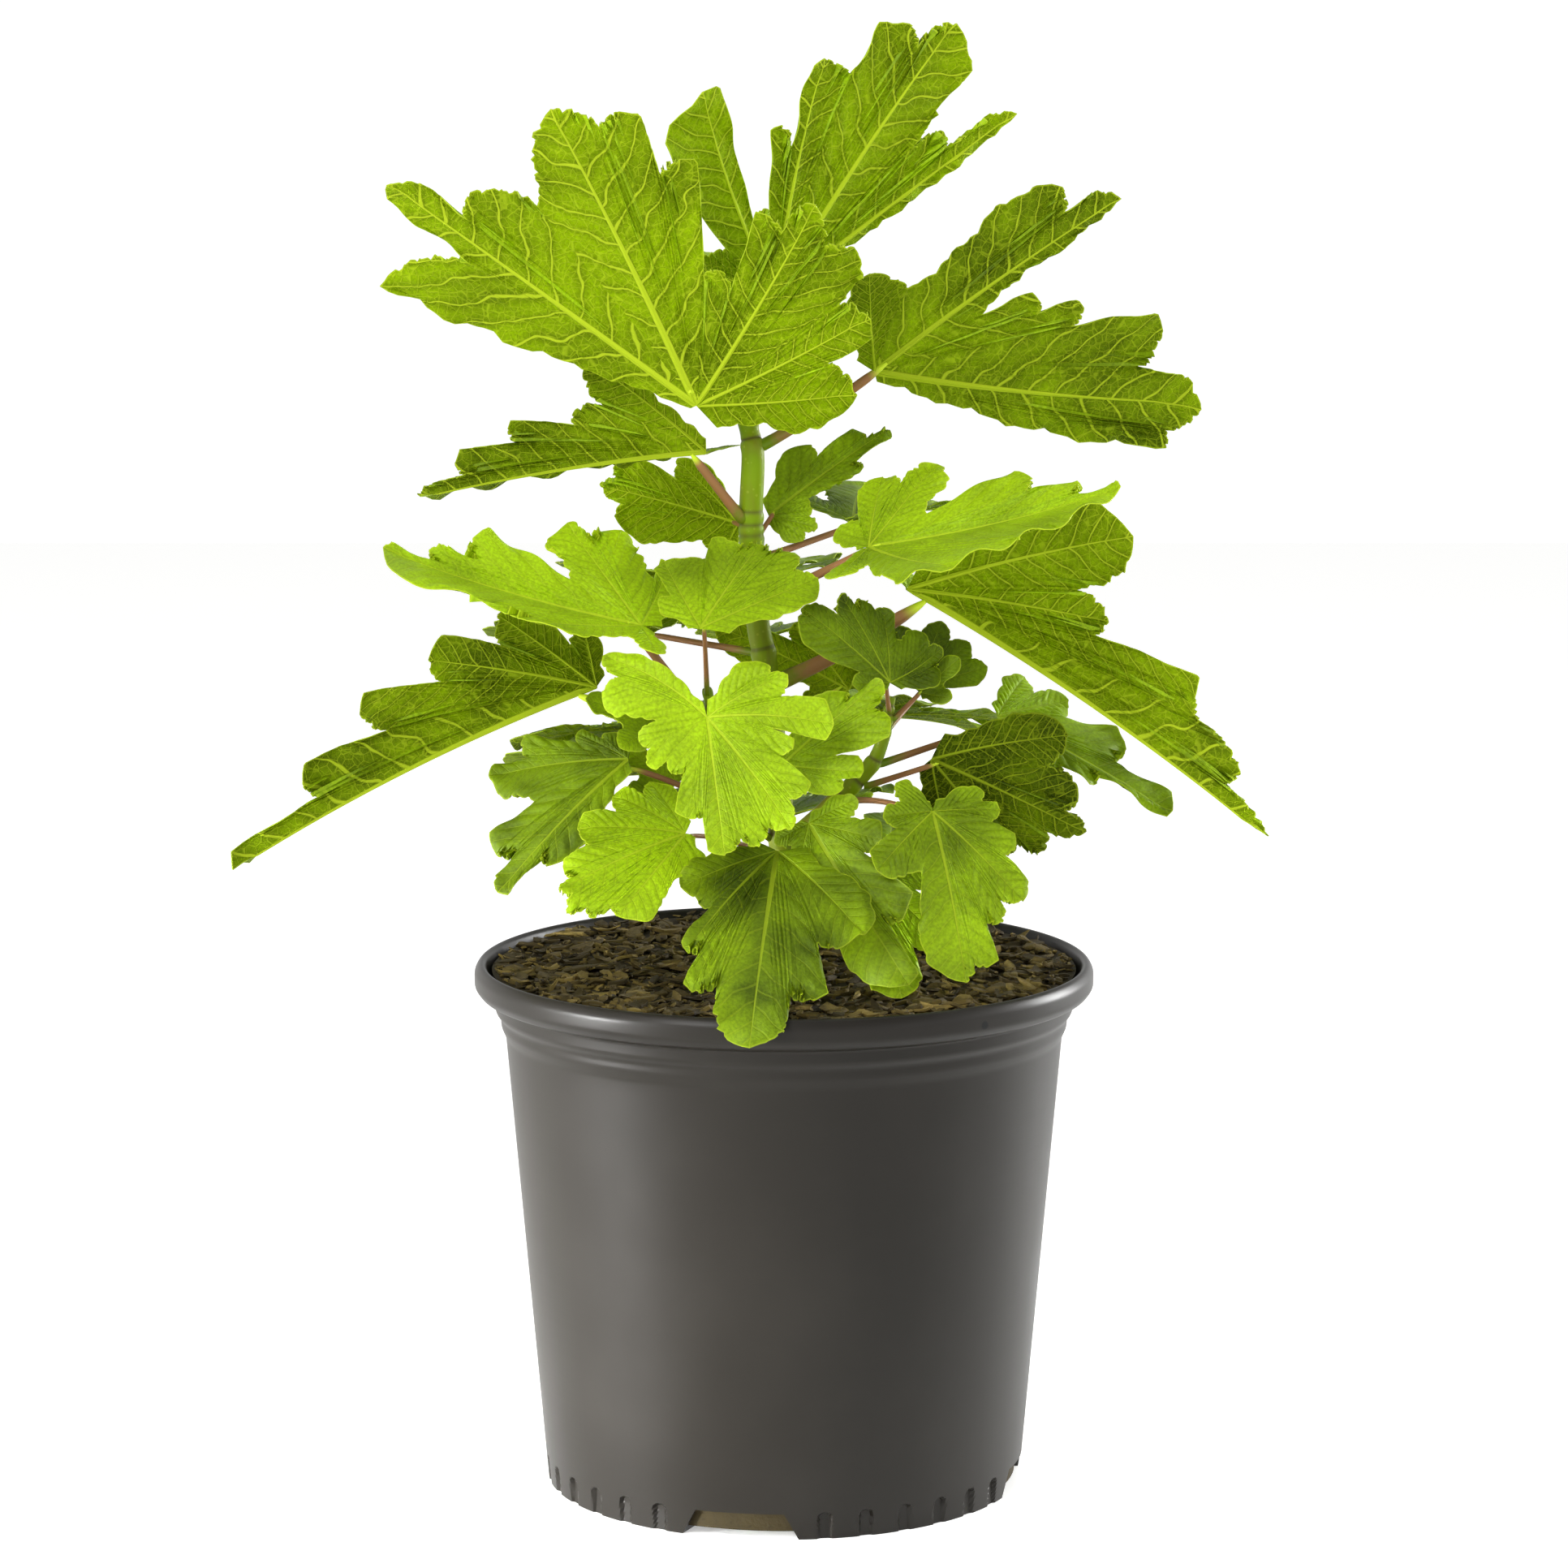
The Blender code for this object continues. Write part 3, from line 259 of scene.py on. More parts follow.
# A leaf: where petiole and blade join, and the middle lobe's tip (mm); the way the upper
# face looks; the side lobes' and big teeth's tips as (degrees left of the midrib, share of
# the middle lobe's length, then the right and left half's share of the usual width where
# they aren't 1); the limb it grows from and the height of its node there (mm). Then the
# notches that lie off the rule, as (degrees, share); the fold up along the midrib and the
# droop along it (degrees); how far the petiole bows up as a share of its length; and the
# middle lobe's two shares of the usual width.
Leaf = namedtuple("Leaf", "base tip faces lobes limb node notches fold droop bow middle",
                  defaults=((), 0, 12, 0.0, (1, 1)))
SHOWN_LEAVES = {
    "leaf_top_front": Leaf(
        (-39, -40, 501), (-100, -105, 633), (0.1, 1, 0.35),
        ((-48, 0.94, 0.1, 1), (-30, 1.07, 0.6, 0.6), (-22, 0.88), (10, 0.92), (19, 0.75),
         (29, 0.41), (40, 0.6), (50, 0.68), (64, 0.63), (82, 0.54), (106, 0.45)), "trunk", 497,
        ((-34, 0.75), (-13, 0.74), (6, 0.9), (24, 0.39), (36, 0.35), (91, 0.38)),
        fold=8, droop=15, bow=0.1, middle=(0.5, 1)),
    "leaf_top_back": Leaf(
        (-4, 22, 546), (78, 40, 669), (-0.5, 0.85, 0.3),
        ((-95, 0.3), (-58, 0.72, 1.3, 1.4), (-43, 0.28), (-34, 0.53, 0.6, 0.6),
         (-25, 0.74, 0.5, 1), (-9, 0.92), (16, 0.75, 0.4, 0.6), (23, 0.98, 0.3, 0.15)),
        "trunk", 515,
        ((-29, 0.44), (-16, 0.7), (12, 0.63)), bow=0.05, middle=(1, 0.8)),
    "leaf_upper_right": Leaf(
        (41, 0, 513), (152, 10, 591), (0, 1, 0.5),
        ((-56, 0.34), (-10, 0.87, 0.5, 1), (14, 0.61), (20, 0.75), (30, 1.02),
         (44, 1.18), (52, 1.1, 1, 0.16)), "trunk", 480,
        ((-32, 0.3), (9, 0.41), (24, 0.7), (49, 1.08)), bow=-0.05, middle=(1, 0.15)),
    "leaf_upper_left": Leaf(
        (-35, -16, 478), (-165, -14, 457), (0, 0.75, 0.66),
        ((-90, 0.3), (-49, 0.5), (6, 0.86), (14, 0.68), (21, 0.47), (43, 0.5, 1, 0.4)),
        "trunk", 447,
        ((29, 0.38),), fold=42, middle=(0.8, 1)),
    "leaf_behind_left": Leaf(
        (-21, 40, 440), (-86, 56, 456), (0, 0.9, 0.4),
        ((-66, 0.32), (-12, 0.88), (10, 0.93), (35, 0.6)), "trunk", 441,
        ((-38, 0.31),), fold=-5),
    "leaf_behind_right": Leaf(
        (-7, 16, 446), (49, 40, 484), (0, -0.8, 0.6),
        ((-74, 0.3), (-53, 0.33), (-29, 0.28), (-9, 0.7, 0.2, 1), (5, 0.85), (21, 0.56)), "trunk",
        437, ((-14, 0.27), (-40, 0.26)), middle=(0.7, 0.7)),
    "leaf_middle_left": Leaf(
        (-64, -45, 403), (-178, -60, 439), (0, -0.39, 0.92),
        ((-94, 0.42), (-64, 0.52), (-51, 0.56), (-18, 0.71), (-6, 0.83), (32, 0.5), (95, 0.25)),
        "left_shoot", 356, ((-88, 0.3), (-27, 0.33), (-10, 0.69), (20, 0.6)),
        fold=14, droop=-12, middle=(1, 1.25)),
    "leaf_middle_front": Leaf(
        (-37, -62, 404), (-10, -14, 437), (0, -0.6, 0.8),
        ((-32, 0.97), (-13, 1.06), (16, 0.94), (45, 0.7), (66, 0.4)), "left_shoot", 370,
        ((5, 0.9), (22, 0.72)), bow=0.1),
    "leaf_middle_right": Leaf(
        (38, -34, 437), (148, -78, 468), (0, -0.42, 0.9),
        ((-90, 0.3), (-45, 0.7), (6, 0.83), (18, 0.65), (60, 0.47), (86, 0.42), (118, 0.24)),
        "trunk", 410, ((-24, 0.82), (11, 0.62), (30, 0.25)), fold=14, droop=-12,
        middle=(1.5, 1)),
    "leaf_lower_right": Leaf(
        (56, -6, 415), (218, -35, 305), (0.25, 0.65, 0.7),
        ((-44, 0.52), (-22, 0.46), (-13, 0.7), (-5, 0.87), (49, 0.35), (95, 0.2)), "trunk", 372,
        ((-30, 0.38), (-9, 0.73)), fold=42, bow=-0.05, middle=(1, 1)),
    "leaf_lower_left": Leaf(
        (-85, -12, 371), (-248, -45, 292), (-0.2, 0.7, 0.7),
        ((-50, 0.4), (7, 0.76), (17, 0.58), (31, 0.41), (56, 0.29), (95, 0.15)), "left_shoot", 350,
        ((12, 0.52),), fold=40, droop=15),
    "leaf_centre": Leaf(
        (-34, -76, 366), (-26, -99, 308), (0, -1, 0.35),
        ((-126, 0.85, 0.6, 1), (-108, 0.76), (-72, 0.51), (-54, 0.55), (-36, 0.48), (-18, 0.74),
         (14, 1.0), (29, 1.0), (43, 0.89), (58, 0.65), (78, 0.89), (106, 0.64), (117, 0.57)),
        "left_shoot", 362, ((-85, 0.36), (-9, 0.72), (8, 0.9), (21, 0.89), (51, 0.57),
                            (67, 0.44), (93, 0.53)), droop=20, bow=0.1),
    "leaf_centre_right": Leaf(
        (-1, -58, 342), (44, -50, 379), (0, -0.8, 0.6),
        ((-60, 0.53), (-46, 0.65), (-18, 0.9), (8, 0.75)), "trunk", 322, ((-31, 0.42),)),
    "leaf_low_left": Leaf(
        (-70, -41, 342), (-127, -71, 286), (-0.3, -0.75, 0.6),
        ((-90, 0.21), (-74, 0.33), (-59, 0.6), (-44, 0.75), (-12, 0.86), (9, 0.75, 1, 0.6)),
        "trunk", 300, ((-66, 0.3), (-22, 0.54)), droop=20, bow=0.1),
    "leaf_low_front_left": Leaf(
        (-44, -64, 312), (-99, -98, 292), (-0.1, -0.75, 0.6),
        ((-86, 0.46), (-58, 0.55), (-29, 0.72), (-6, 0.9), (9, 1.06), (16, 0.98), (25, 0.86),
         (60, 0.35)), "trunk", 290, ((-16, 0.67), (20, 0.84), (42, 0.48)), droop=20, bow=0.1),
    "leaf_over_rim": Leaf(
        (-3, -70, 305), (-15, -152, 233), (0, -0.6, 0.8),
        ((-50, 0.45), (-26, 0.65), (-18, 0.81), (17, 0.8), (40, 0.6)), "trunk", 280,
        ((-31, 0.43), (-12, 0.74), (10, 0.76), (22, 0.55)), droop=25, bow=0.2),
    "leaf_low_front": Leaf(
        (11, -66, 317), (55, -104, 251), (-0.3, -0.8, 0.5),
        ((-84, 0.2), (-38, 0.32), (12, 0.72), (40, 0.4), (76, 0.28)), "trunk", 300, bow=0.1),
    "leaf_low_front_right": Leaf(
        (66, -70, 323), (80, -104, 252), (0.2, -0.85, 0.5),
        ((-122, 0.26), (-80, 0.3), (-48, 0.51), (8, 0.94), (20, 0.74), (33, 0.71), (54, 0.5),
         (77, 0.38), (95, 0.31)), "right_shoot", 318, ((-20, 0.38), (25, 0.62), (45, 0.47)),
        droop=20, bow=0.1),
    "leaf_low_centre": Leaf(
        (34, -45, 293), (52, -95, 244), (0, -0.8, 0.6),
        ((-60, 0.4), (-28, 0.6), (25, 0.81), (60, 0.5)), "trunk", 286, droop=20, bow=0.1),
    "leaf_low_right": Leaf(
        (67, -14, 338), (138, -8, 303), (0.1, 0.95, 0.3),
        ((-38, 0.8), (-10, 0.88), (15, 0.88), (25, 0.77), (50, 0.5)), "right_shoot", 325),
    "leaf_right": Leaf(
        (98, 12, 354), (178, 12, 309), (0, -0.5, 0.85),
        ((-24, 0.45), (-8, 0.6), (19, 0.71), (45, 0.45), (76, 0.35)), "right_shoot", 335),
    "leaf_centre_upper_right": Leaf(
        (47.5, -35, 376), (8, -45, 411), (0, -0.7, 0.7),
        ((-122, 0.55), (-108, 0.65), (-90, 0.6), (-51, 0.65), (-36, 0.76), (-24, 0.85),
         (6, 1.0), (40, 0.4)), "right_shoot", 360, ((-44, 0.63), (-64, 0.4)), bow=-0.05),
    "leaf_dark_right": Leaf(
        (64, 26, 366), (94, 27, 375), (0, -0.95, 0.2),
        ((-40, 0.4), (26, 0.95), (57, 1.0), (97, 0.98)), "right_shoot", 350),
    "leaf_behind_stem": Leaf(
        (30, 22, 365), (-32, 30, 394), (0, 0.8, 0.6),
        ((-50, 0.4), (30, 0.6), (86, 0.32)), "back_shoot", 345),
    "leaf_small_left": Leaf(
        (-56, -40, 358), (-89, -48, 370), (0, -0.6, 0.8),
        ((-50, 0.7), (50, 0.8)), "left_shoot", 340),
    "leaf_dark_left": Leaf(
        (-50, -16, 326), (-74, -14, 344), (0, -0.7, 0.7),
        ((-50, 0.8), (50, 0.8)), "left_shoot", 328),
    "leaf_bud_right": Leaf(
        (62, -10, 368), (80, -12, 384), (0, -0.7, 0.7),
        ((-50, 0.7), (50, 0.7)), "right_shoot", 356),
}

# Leaves on the far side: the limb and its node's height (mm), the way they grow out
# (degrees from +X towards +Y), the petiole's length and rise, the blade's length and rise
Far = namedtuple("Far", "limb node azimuth petiole rise length pitch")
FAR_LEAVES = {
    "leaf_far_top": Far("trunk", 512, 140, 45, 40, 100, 12),
    "leaf_far_upper": Far("trunk", 490, 60, 45, 35, 105, 5),
    "leaf_far_middle": Far("trunk", 405, 105, 60, 0, 110, -5),
    "leaf_far_right": Far("trunk", 428, 38, 60, 12, 95, -2),
    "leaf_far_left": Far("trunk", 385, 150, 60, 5, 90, -5),
    "leaf_far_shoot": Far("back_shoot", 372, 95, 40, 10, 100, -8),
    "leaf_far_shoot_left": Far("back_shoot", 340, 150, 50, 0, 95, -15),
    "leaf_far_shoot_right": Far("back_shoot", 350, 35, 60, -5, 100, -15),
    "leaf_far_low": Far("trunk", 288, 92, 55, 12, 90, -5),
    "leaf_far_low_left": Far("trunk", 305, 145, 55, 20, 90, -12),
    "leaf_far_low_right": Far("trunk", 282, 40, 66, 2, 80, -2),
}
FAR_LOBES = ((-92, 0.5), (-46, 0.8), (46, 0.82), (92, 0.48))
FAR_NOTCHES = ((-68, 0.3), (-22, 0.4), (24, 0.42), (70, 0.3))
FAR_FOLD = 8
FAR_DROOP = 25

# How young and bright each leaf is, from 0, old and dark, to 1, with painted shade in it too: a
# leaf that lies in shade has a low tone; the far ones are in between
MIDDLING_TONE = 0.5
LEAF_TONES_AND_SHADE = {
    "leaf_top_front": 0.72, "leaf_top_back": 0.82, "leaf_upper_right": 0.47,
    "leaf_upper_left": 0.42, "leaf_behind_left": 1, "leaf_behind_right": 0.4,
    "leaf_middle_left": 0.92, "leaf_middle_front": 0.64, "leaf_middle_right": 0.82,
    "leaf_lower_right": 0.62, "leaf_lower_left": 0.41, "leaf_centre": 0.79,
    "leaf_centre_right": 0.6, "leaf_low_left": 0.29, "leaf_low_front_left": 0.76,
    "leaf_over_rim": 0.2, "leaf_low_front": 0.3, "leaf_low_front_right": 0.45,
    "leaf_low_centre": 0.8, "leaf_low_right": 0.1, "leaf_right": 0.5,
    "leaf_centre_upper_right": 0.32, "leaf_behind_stem": 0.7, "leaf_small_left": 0.6,
    "leaf_dark_left": 0.65, "leaf_bud_right": 0.35, "leaf_dark_right": 0.33,
}


def linear(code):
    """Scene-linear red, green and blue of an sRGB hex colour."""
    channels = [int(code[k:k + 2], 16) / 255 for k in (1, 3, 5)]
    return tuple(c / 12.92 if c <= 0.04045 else ((c + 0.055) / 1.055) ** 2.4 for c in channels)


def colour_prop(name, description, code):
    """A colour that a user may change."""
    return FloatVectorProperty(name=name, description=description, default=linear(code),
                               subtype="COLOR", size=3, min=0, max=1)


class FigLeafSettings(bpy.types.PropertyGroup):
    """Leaves: relief in metres, and colours from young and bright to old and dark, the dark ones
    also painted shade
    """
    thickness: FloatProperty(name="Blade", description="Thickness of a blade between its veins",
                             default=0.45 * MM, min=0.1 * MM, unit="LENGTH", subtype="DISTANCE")
    rib: FloatProperty(name="Ribs", description="How far a main vein stands out underneath",
                       default=0.9 * MM, min=0, unit="LENGTH", subtype="DISTANCE")
    ruffle: FloatProperty(name="Ruffle", description="How far the margin waves up and down",
                          default=2.2 * MM, min=0, unit="LENGTH", subtype="DISTANCE")
    quilt: FloatProperty(name="Quilting", description="How far the blade bulges between veins",
                         default=0.8 * MM, min=0, unit="LENGTH", subtype="DISTANCE")
    crenation: FloatProperty(name="Crenation", description="Depth of the margin's small teeth",
                             default=1.8 * MM, min=0, unit="LENGTH", subtype="DISTANCE")
    # The dark colours stand for old leaves and for painted shade both; each leaf's tone sets how
    # far it goes towards them
    upper: colour_prop("Upper side", "Young leaf seen from above", "#A6CB10")
    upper_dark: colour_prop("Upper side, old", "Older, shaded leaf seen from above", "#3A4C00")
    under: colour_prop("Underside", "Young leaf seen from below", "#86A600")
    under_dark: colour_prop("Underside, old", "Older leaf seen from below", "#334300")
    vein: colour_prop("Veins", "Raised veins", "#CDE52E")
    petiole: colour_prop("Petioles", "Sunned part of a petiole", "#A0694A")


class FigStemSettings(bpy.types.PropertyGroup):
    """Trunk and side shoots: the bark's colours and its node rings"""
    green: colour_prop("Green bark", "This year's bark", "#789600")
    brown: colour_prop("Brown bark", "Bark that is turning to wood", "#7A6A24")
    scar: colour_prop("Scars", "Rings where leaves have sat", "#4A3A22")
    ring: FloatProperty(name="Node rings", description="How far a node stands out",
                        default=0.55 * MM, min=0, unit="LENGTH", subtype="DISTANCE")


class FigPotSettings(bpy.types.PropertyGroup):
    """Pot and mulch: the plastic's and the bark's colours, and how many chips lie on top"""
    plastic: colour_prop("Pot", "Dark grey moulded plastic", "#1D1A15")
    bark: colour_prop("Bark", "Dark side of a bark chip", "#2A220C")
    bark_light: colour_prop("Pale bark", "Freshly broken bark", "#8A763A")
    chips: IntProperty(name="Chips", description="How many bark chips lie on top",
                       default=3000, min=1)
    chip_length: FloatProperty(name="Chip length", description="Length of a large bark chip",
                               default=17 * MM, min=2 * MM, unit="LENGTH", subtype="DISTANCE")


class FigSettings(bpy.types.PropertyGroup):
    """The plant's settings, one group for each kind of material"""
    leaf: PointerProperty(type=FigLeafSettings)
    stem: PointerProperty(type=FigStemSettings)
    pot: PointerProperty(type=FigPotSettings)


def add_node(tree, kind, inputs=(), **settings):
    """One shader node: its settings, its links, and its sockets' own values."""
    node = tree.nodes.new(kind)
    for name, value in settings.items():
        setattr(node, name, value)
    for name, value in dict(inputs).items():
        if isinstance(value, bpy.types.NodeSocket):
            tree.links.new(value, node.inputs[name])
        else:
            node.inputs[name].default_value = value
    return node


def new_material(name, roughness, ior):
    """A Principled material with its node tree and shader."""
    material = bpy.data.materials.new(name)
    material.use_nodes = True
    shader = material.node_tree.nodes["Principled BSDF"]
    shader.inputs["Roughness"].default_value = roughness
    shader.inputs["IOR"].default_value = ior
    return material, material.node_tree, shader


def mix(tree, factor, first, second):
    """Colour between two colours or colour sockets."""
    node = add_node(tree, "ShaderNodeMix", data_type="RGBA")
    for socket, value in ((0, factor), (6, first), (7, second)):
        if isinstance(value, bpy.types.NodeSocket):
            tree.links.new(value, node.inputs[socket])
        else:
            node.inputs[socket].default_value = (*value, 1) if socket else value
    return node.outputs[2]


def calc(tree, operation, *values):
    """One step of arithmetic on sockets or numbers."""
    node = add_node(tree, "ShaderNodeMath", dict(enumerate(values)), operation=operation)
    return node.outputs[0]


def ramp(tree, value, low, high, start=0.0, end=1.0):
    """A smooth step of value from low to high, giving start to end."""
    inputs = {"Value": value, "From Min": low, "From Max": high, "To Min": start, "To Max": end}
    return add_node(tree, "ShaderNodeMapRange", inputs,
                    interpolation_type="SMOOTHSTEP").outputs["Result"]


def leaf_side(name, bright, dark, vein, under):
    """Fig blade, one side of it, with the veins and the net between them.

    The underside is matt, its ribs pale and raised and its net plain to see. The upper side
    is a little glossier, its veins fine and sunk and its net faint.
    """
    material, tree, shader = new_material(name, 0.6 if under else 0.5, 1.42)
    shader.inputs["Specular IOR Level"].default_value = 0.06 if under else 0.2
    veins = add_node(tree, "ShaderNodeUVMap", uv_map="veins")
    order, off = add_node(tree, "ShaderNodeSeparateXYZ", {0: veins.outputs[0]}).outputs[:2]
    reach = add_node(tree, "ShaderNodeUVMap", uv_map="reach")
    along, edge = add_node(tree, "ShaderNodeSeparateXYZ", {0: reach.outputs[0]}).outputs[:2]
    spot = add_node(tree, "ShaderNodeUVMap", uv_map="spot").outputs[0]
    tone = add_node(tree, "ShaderNodeAttribute", attribute_name="tone").outputs["Fac"]

    # "spot" counts centimetres: a wander of some 12 mm keeps the side veins from being ruled
    wander = add_node(tree, "ShaderNodeTexNoise", {"Vector": spot, "Scale": 0.8, "Detail": 0.5})
    order = calc(tree, "ADD", order, calc(tree, "MULTIPLY", calc(
        tree, "SUBTRACT", wander.outputs["Fac"], 0.5), 0.7))
    beside = calc(tree, "ABSOLUTE", calc(tree, "SUBTRACT", calc(
        tree, "FRACT", calc(tree, "ADD", order, 0.5)), 0.5))
    taper = ramp(tree, along, 0.0, 1.0, 1.0, 0.25)
    main = ramp(tree, calc(tree, "DIVIDE", off, taper), 0.008, 0.013, 1.0, 0.0)
    thin = ramp(tree, off, 0.0, 0.3, 1.0, 0.55)
    side = ramp(tree, calc(tree, "DIVIDE", beside, thin), 0.035, 0.085, 1.0, 0.0)
    lesser = ramp(tree, beside, 0.465, 0.49, 0.0, 0.25)
    # a net with meshes of some 4 mm, and a fainter one of under 2 mm
    nets = []
    for scale, strength in ((2.4, 0.4 if under else 0.08), (6.0, 0.2 if under else 0.04)):
        cells = add_node(tree, "ShaderNodeTexVoronoi", {"Vector": spot, "Scale": scale},
                         feature="DISTANCE_TO_EDGE")
        nets.append(ramp(tree, cells.outputs["Distance"], 0.02, 0.08, strength, 0.0))
    ribs = calc(tree, "MAXIMUM", main, calc(tree, "MULTIPLY", calc(
        tree, "MAXIMUM", side, lesser), 0.9 if under else 0.4))
    pattern = calc(tree, "MAXIMUM", ribs, calc(tree, "MAXIMUM", *nets))

    # painted light and shade in patches of some 40 mm, other ones on every leaf, for the shading of
    # the blade's folds; it moves the leaf's tone up and down
    place = add_node(tree, "ShaderNodeTexCoord").outputs["Object"]
    painted_shading = add_node(tree, "ShaderNodeTexNoise", {"Vector": place, "Scale": 24.0, "Detail": 3.0})
    depth = calc(tree, "ADD", tone, calc(tree, "MULTIPLY", calc(
        tree, "SUBTRACT", painted_shading.outputs["Fac"], 0.5), 1.6))
    depth = add_node(tree, "ShaderNodeClamp", {0: depth}).outputs[0]
    colour = mix(tree, depth, dark, bright)
    speck = add_node(tree, "ShaderNodeTexNoise", {"Vector": spot, "Scale": 7.0, "Detail": 3.0})
    shade = ramp(tree, speck.outputs["Fac"], 0.3, 0.7, 0.78, 1.12)
    # painted shade in the hollows along the side veins, where the quilted blade dips, and a little
    # painted light on the bulges between them, over the fine mottling
    crease_shade = ramp(tree, beside, 0.0, 0.4, 0.72 if under else 0.94, 1.08 if under else 1.03)
    shade = calc(tree, "MULTIPLY", shade, crease_shade)
    colour = add_node(tree, "ShaderNodeVectorMath", {0: colour, 1: shade},
                      operation="MULTIPLY").outputs[0]
    pale = mix(tree, calc(tree, "ADD", calc(tree, "MULTIPLY", tone, 0.6), 0.3), dark, vein)
    colour = mix(tree, calc(tree, "MULTIPLY", pattern, 0.9 if under else 0.6), colour, pale)
    rim = ramp(tree, edge, 0.03, 0.08, 0.7, 0.0)
    colour = mix(tree, rim, colour, pale)
    tree.links.new(colour, shader.inputs["Base Color"])

    height = calc(tree, "ADD", calc(tree, "MULTIPLY", pattern, 1.0 if under else -0.5),
                  calc(tree, "MULTIPLY", speck.outputs["Fac"], 0.15))
    bump = add_node(tree, "ShaderNodeBump", {"Height": height, "Distance": 0.8 * MM,
                                             "Strength": 0.9})
    tree.links.new(bump.outputs[0], shader.inputs["Normal"])
    return material


def petiole_skin(colour, green, vein):
    """Petiole: smooth waxy skin, pink-brown, green at its foot and pale where the ribs begin."""
    material, tree, shader = new_material("petiole_skin", 0.42, 1.42)
    shader.inputs["Specular IOR Level"].default_value = 0.3
    reach = add_node(tree, "ShaderNodeUVMap", uv_map="reach")
    along = add_node(tree, "ShaderNodeSeparateXYZ", {0: reach.outputs[0]}).outputs[0]
    place = add_node(tree, "ShaderNodeTexCoord").outputs["Object"]
    # a blush in clouds of some 5 mm
    cloud = add_node(tree, "ShaderNodeTexNoise", {"Vector": place, "Scale": 220.0, "Detail": 3.0})
    blush = ramp(tree, calc(tree, "ADD", along, calc(tree, "MULTIPLY", calc(
        tree, "SUBTRACT", cloud.outputs["Fac"], 0.5), 0.3)), 0.05, 0.3)
    skin = mix(tree, calc(tree, "MULTIPLY", cloud.outputs["Fac"], 0.3), colour, green)
    skin = mix(tree, blush, green, skin)
    tree.links.new(mix(tree, ramp(tree, along, 0.82, 0.93), skin, vein),
                   shader.inputs["Base Color"])
    return material


def green_bark(green, brown, scar):
    """Young fig bark: green and satin, browning in patches, with dark rings at its nodes."""
    material, tree, shader = new_material("green_bark", 0.45, 1.45)
    shader.inputs["Specular IOR Level"].default_value = 0.2
    place = add_node(tree, "ShaderNodeTexCoord").outputs["Object"]
    # streaks 3 mm wide and 17 mm long, brown patches of some 36 mm, pale dots 4 mm apart
    stretched = add_node(tree, "ShaderNodeMapping", {"Vector": place, "Scale": (1, 1, 0.18)})
    streak = add_node(tree, "ShaderNodeTexNoise", {"Vector": stretched.outputs[0],
                                                   "Scale": 320.0, "Detail": 4.0})
    patch = add_node(tree, "ShaderNodeTexNoise", {"Vector": place, "Scale": 28.0, "Detail": 2.0})
    dots = add_node(tree, "ShaderNodeTexVoronoi", {"Vector": place, "Scale": 260.0})
    ring = add_node(tree, "ShaderNodeAttribute", attribute_name="ring").outputs["Fac"]
    colour = mix(tree, ramp(tree, patch.outputs["Fac"], 0.45, 0.75, 0.0, 0.65), green, brown)
    colour = mix(tree, ramp(tree, streak.outputs["Fac"], 0.35, 0.75, 0.0, 0.35), colour, brown)
    pale = ramp(tree, dots.outputs["Distance"], 0.12, 0.2, 0.35, 0.0)
    colour = mix(tree, pale, colour, linear("#A2AE38"))
    colour = mix(tree, calc(tree, "MULTIPLY", ring, 0.8), colour, scar)
    tree.links.new(colour, shader.inputs["Base Color"])
    bump = add_node(tree, "ShaderNodeBump", {"Height": streak.outputs["Fac"],
                                             "Distance": 0.3 * MM, "Strength": 0.5})
    tree.links.new(bump.outputs[0], shader.inputs["Normal"])
    return material


def moulded_polyethylene(colour):
    """Nursery pot: injection-moulded polyethylene, satin, faintly ringed and a little dusty.

    One small black pip on the rim is where the plastic went into the mould.
    """
    material, tree, shader = new_material("moulded_polyethylene", 0.38, 1.51)
    shader.inputs["Specular IOR Level"].default_value = 0.24
    place = add_node(tree, "ShaderNodeTexCoord").outputs["Object"]
    # rings some 7 mm apart, dust in patches of 70 mm, and a grain of 1 mm in the skin
    squashed = add_node(tree, "ShaderNodeMapping", {"Vector": place, "Scale": (0.03, 0.03, 1)})
    rings = add_node(tree, "ShaderNodeTexNoise", {"Vector": squashed.outputs[0],
                                                  "Scale": 150.0, "Detail": 2.0})
    dust = add_node(tree, "ShaderNodeTexNoise", {"Vector": place, "Scale": 14.0, "Detail": 4.0})
    skin = add_node(tree, "ShaderNodeTexNoise", {"Vector": place, "Scale": 900.0, "Detail": 2.0})
    pale = tuple(1.35 * c + 0.004 for c in colour)
    shade = ramp(tree, dust.outputs["Fac"], 0.35, 0.8, 0.0, 0.6)
    away = add_node(tree, "ShaderNodeVectorMath", {0: place, 1: GATE_MARK},
                    operation="DISTANCE").outputs["Value"]
    plastic = mix(tree, shade, colour, pale)
    pip = ramp(tree, away, GATE_RADIUS, GATE_RADIUS + GATE_BLUR, 1.0, 0.0)
    tree.links.new(mix(tree, pip, plastic, linear("#070707")), shader.inputs["Base Color"])
    tree.links.new(ramp(tree, dust.outputs["Fac"], 0.3, 0.8, 0.36, 0.42),
                   shader.inputs["Roughness"])
    height = calc(tree, "ADD", rings.outputs["Fac"], calc(
        tree, "MULTIPLY", skin.outputs["Fac"], 0.05))
    bump = add_node(tree, "ShaderNodeBump", {"Height": height, "Distance": 0.4 * MM,
                                             "Strength": 0.15})
    tree.links.new(bump.outputs[0], shader.inputs["Normal"])
    return material


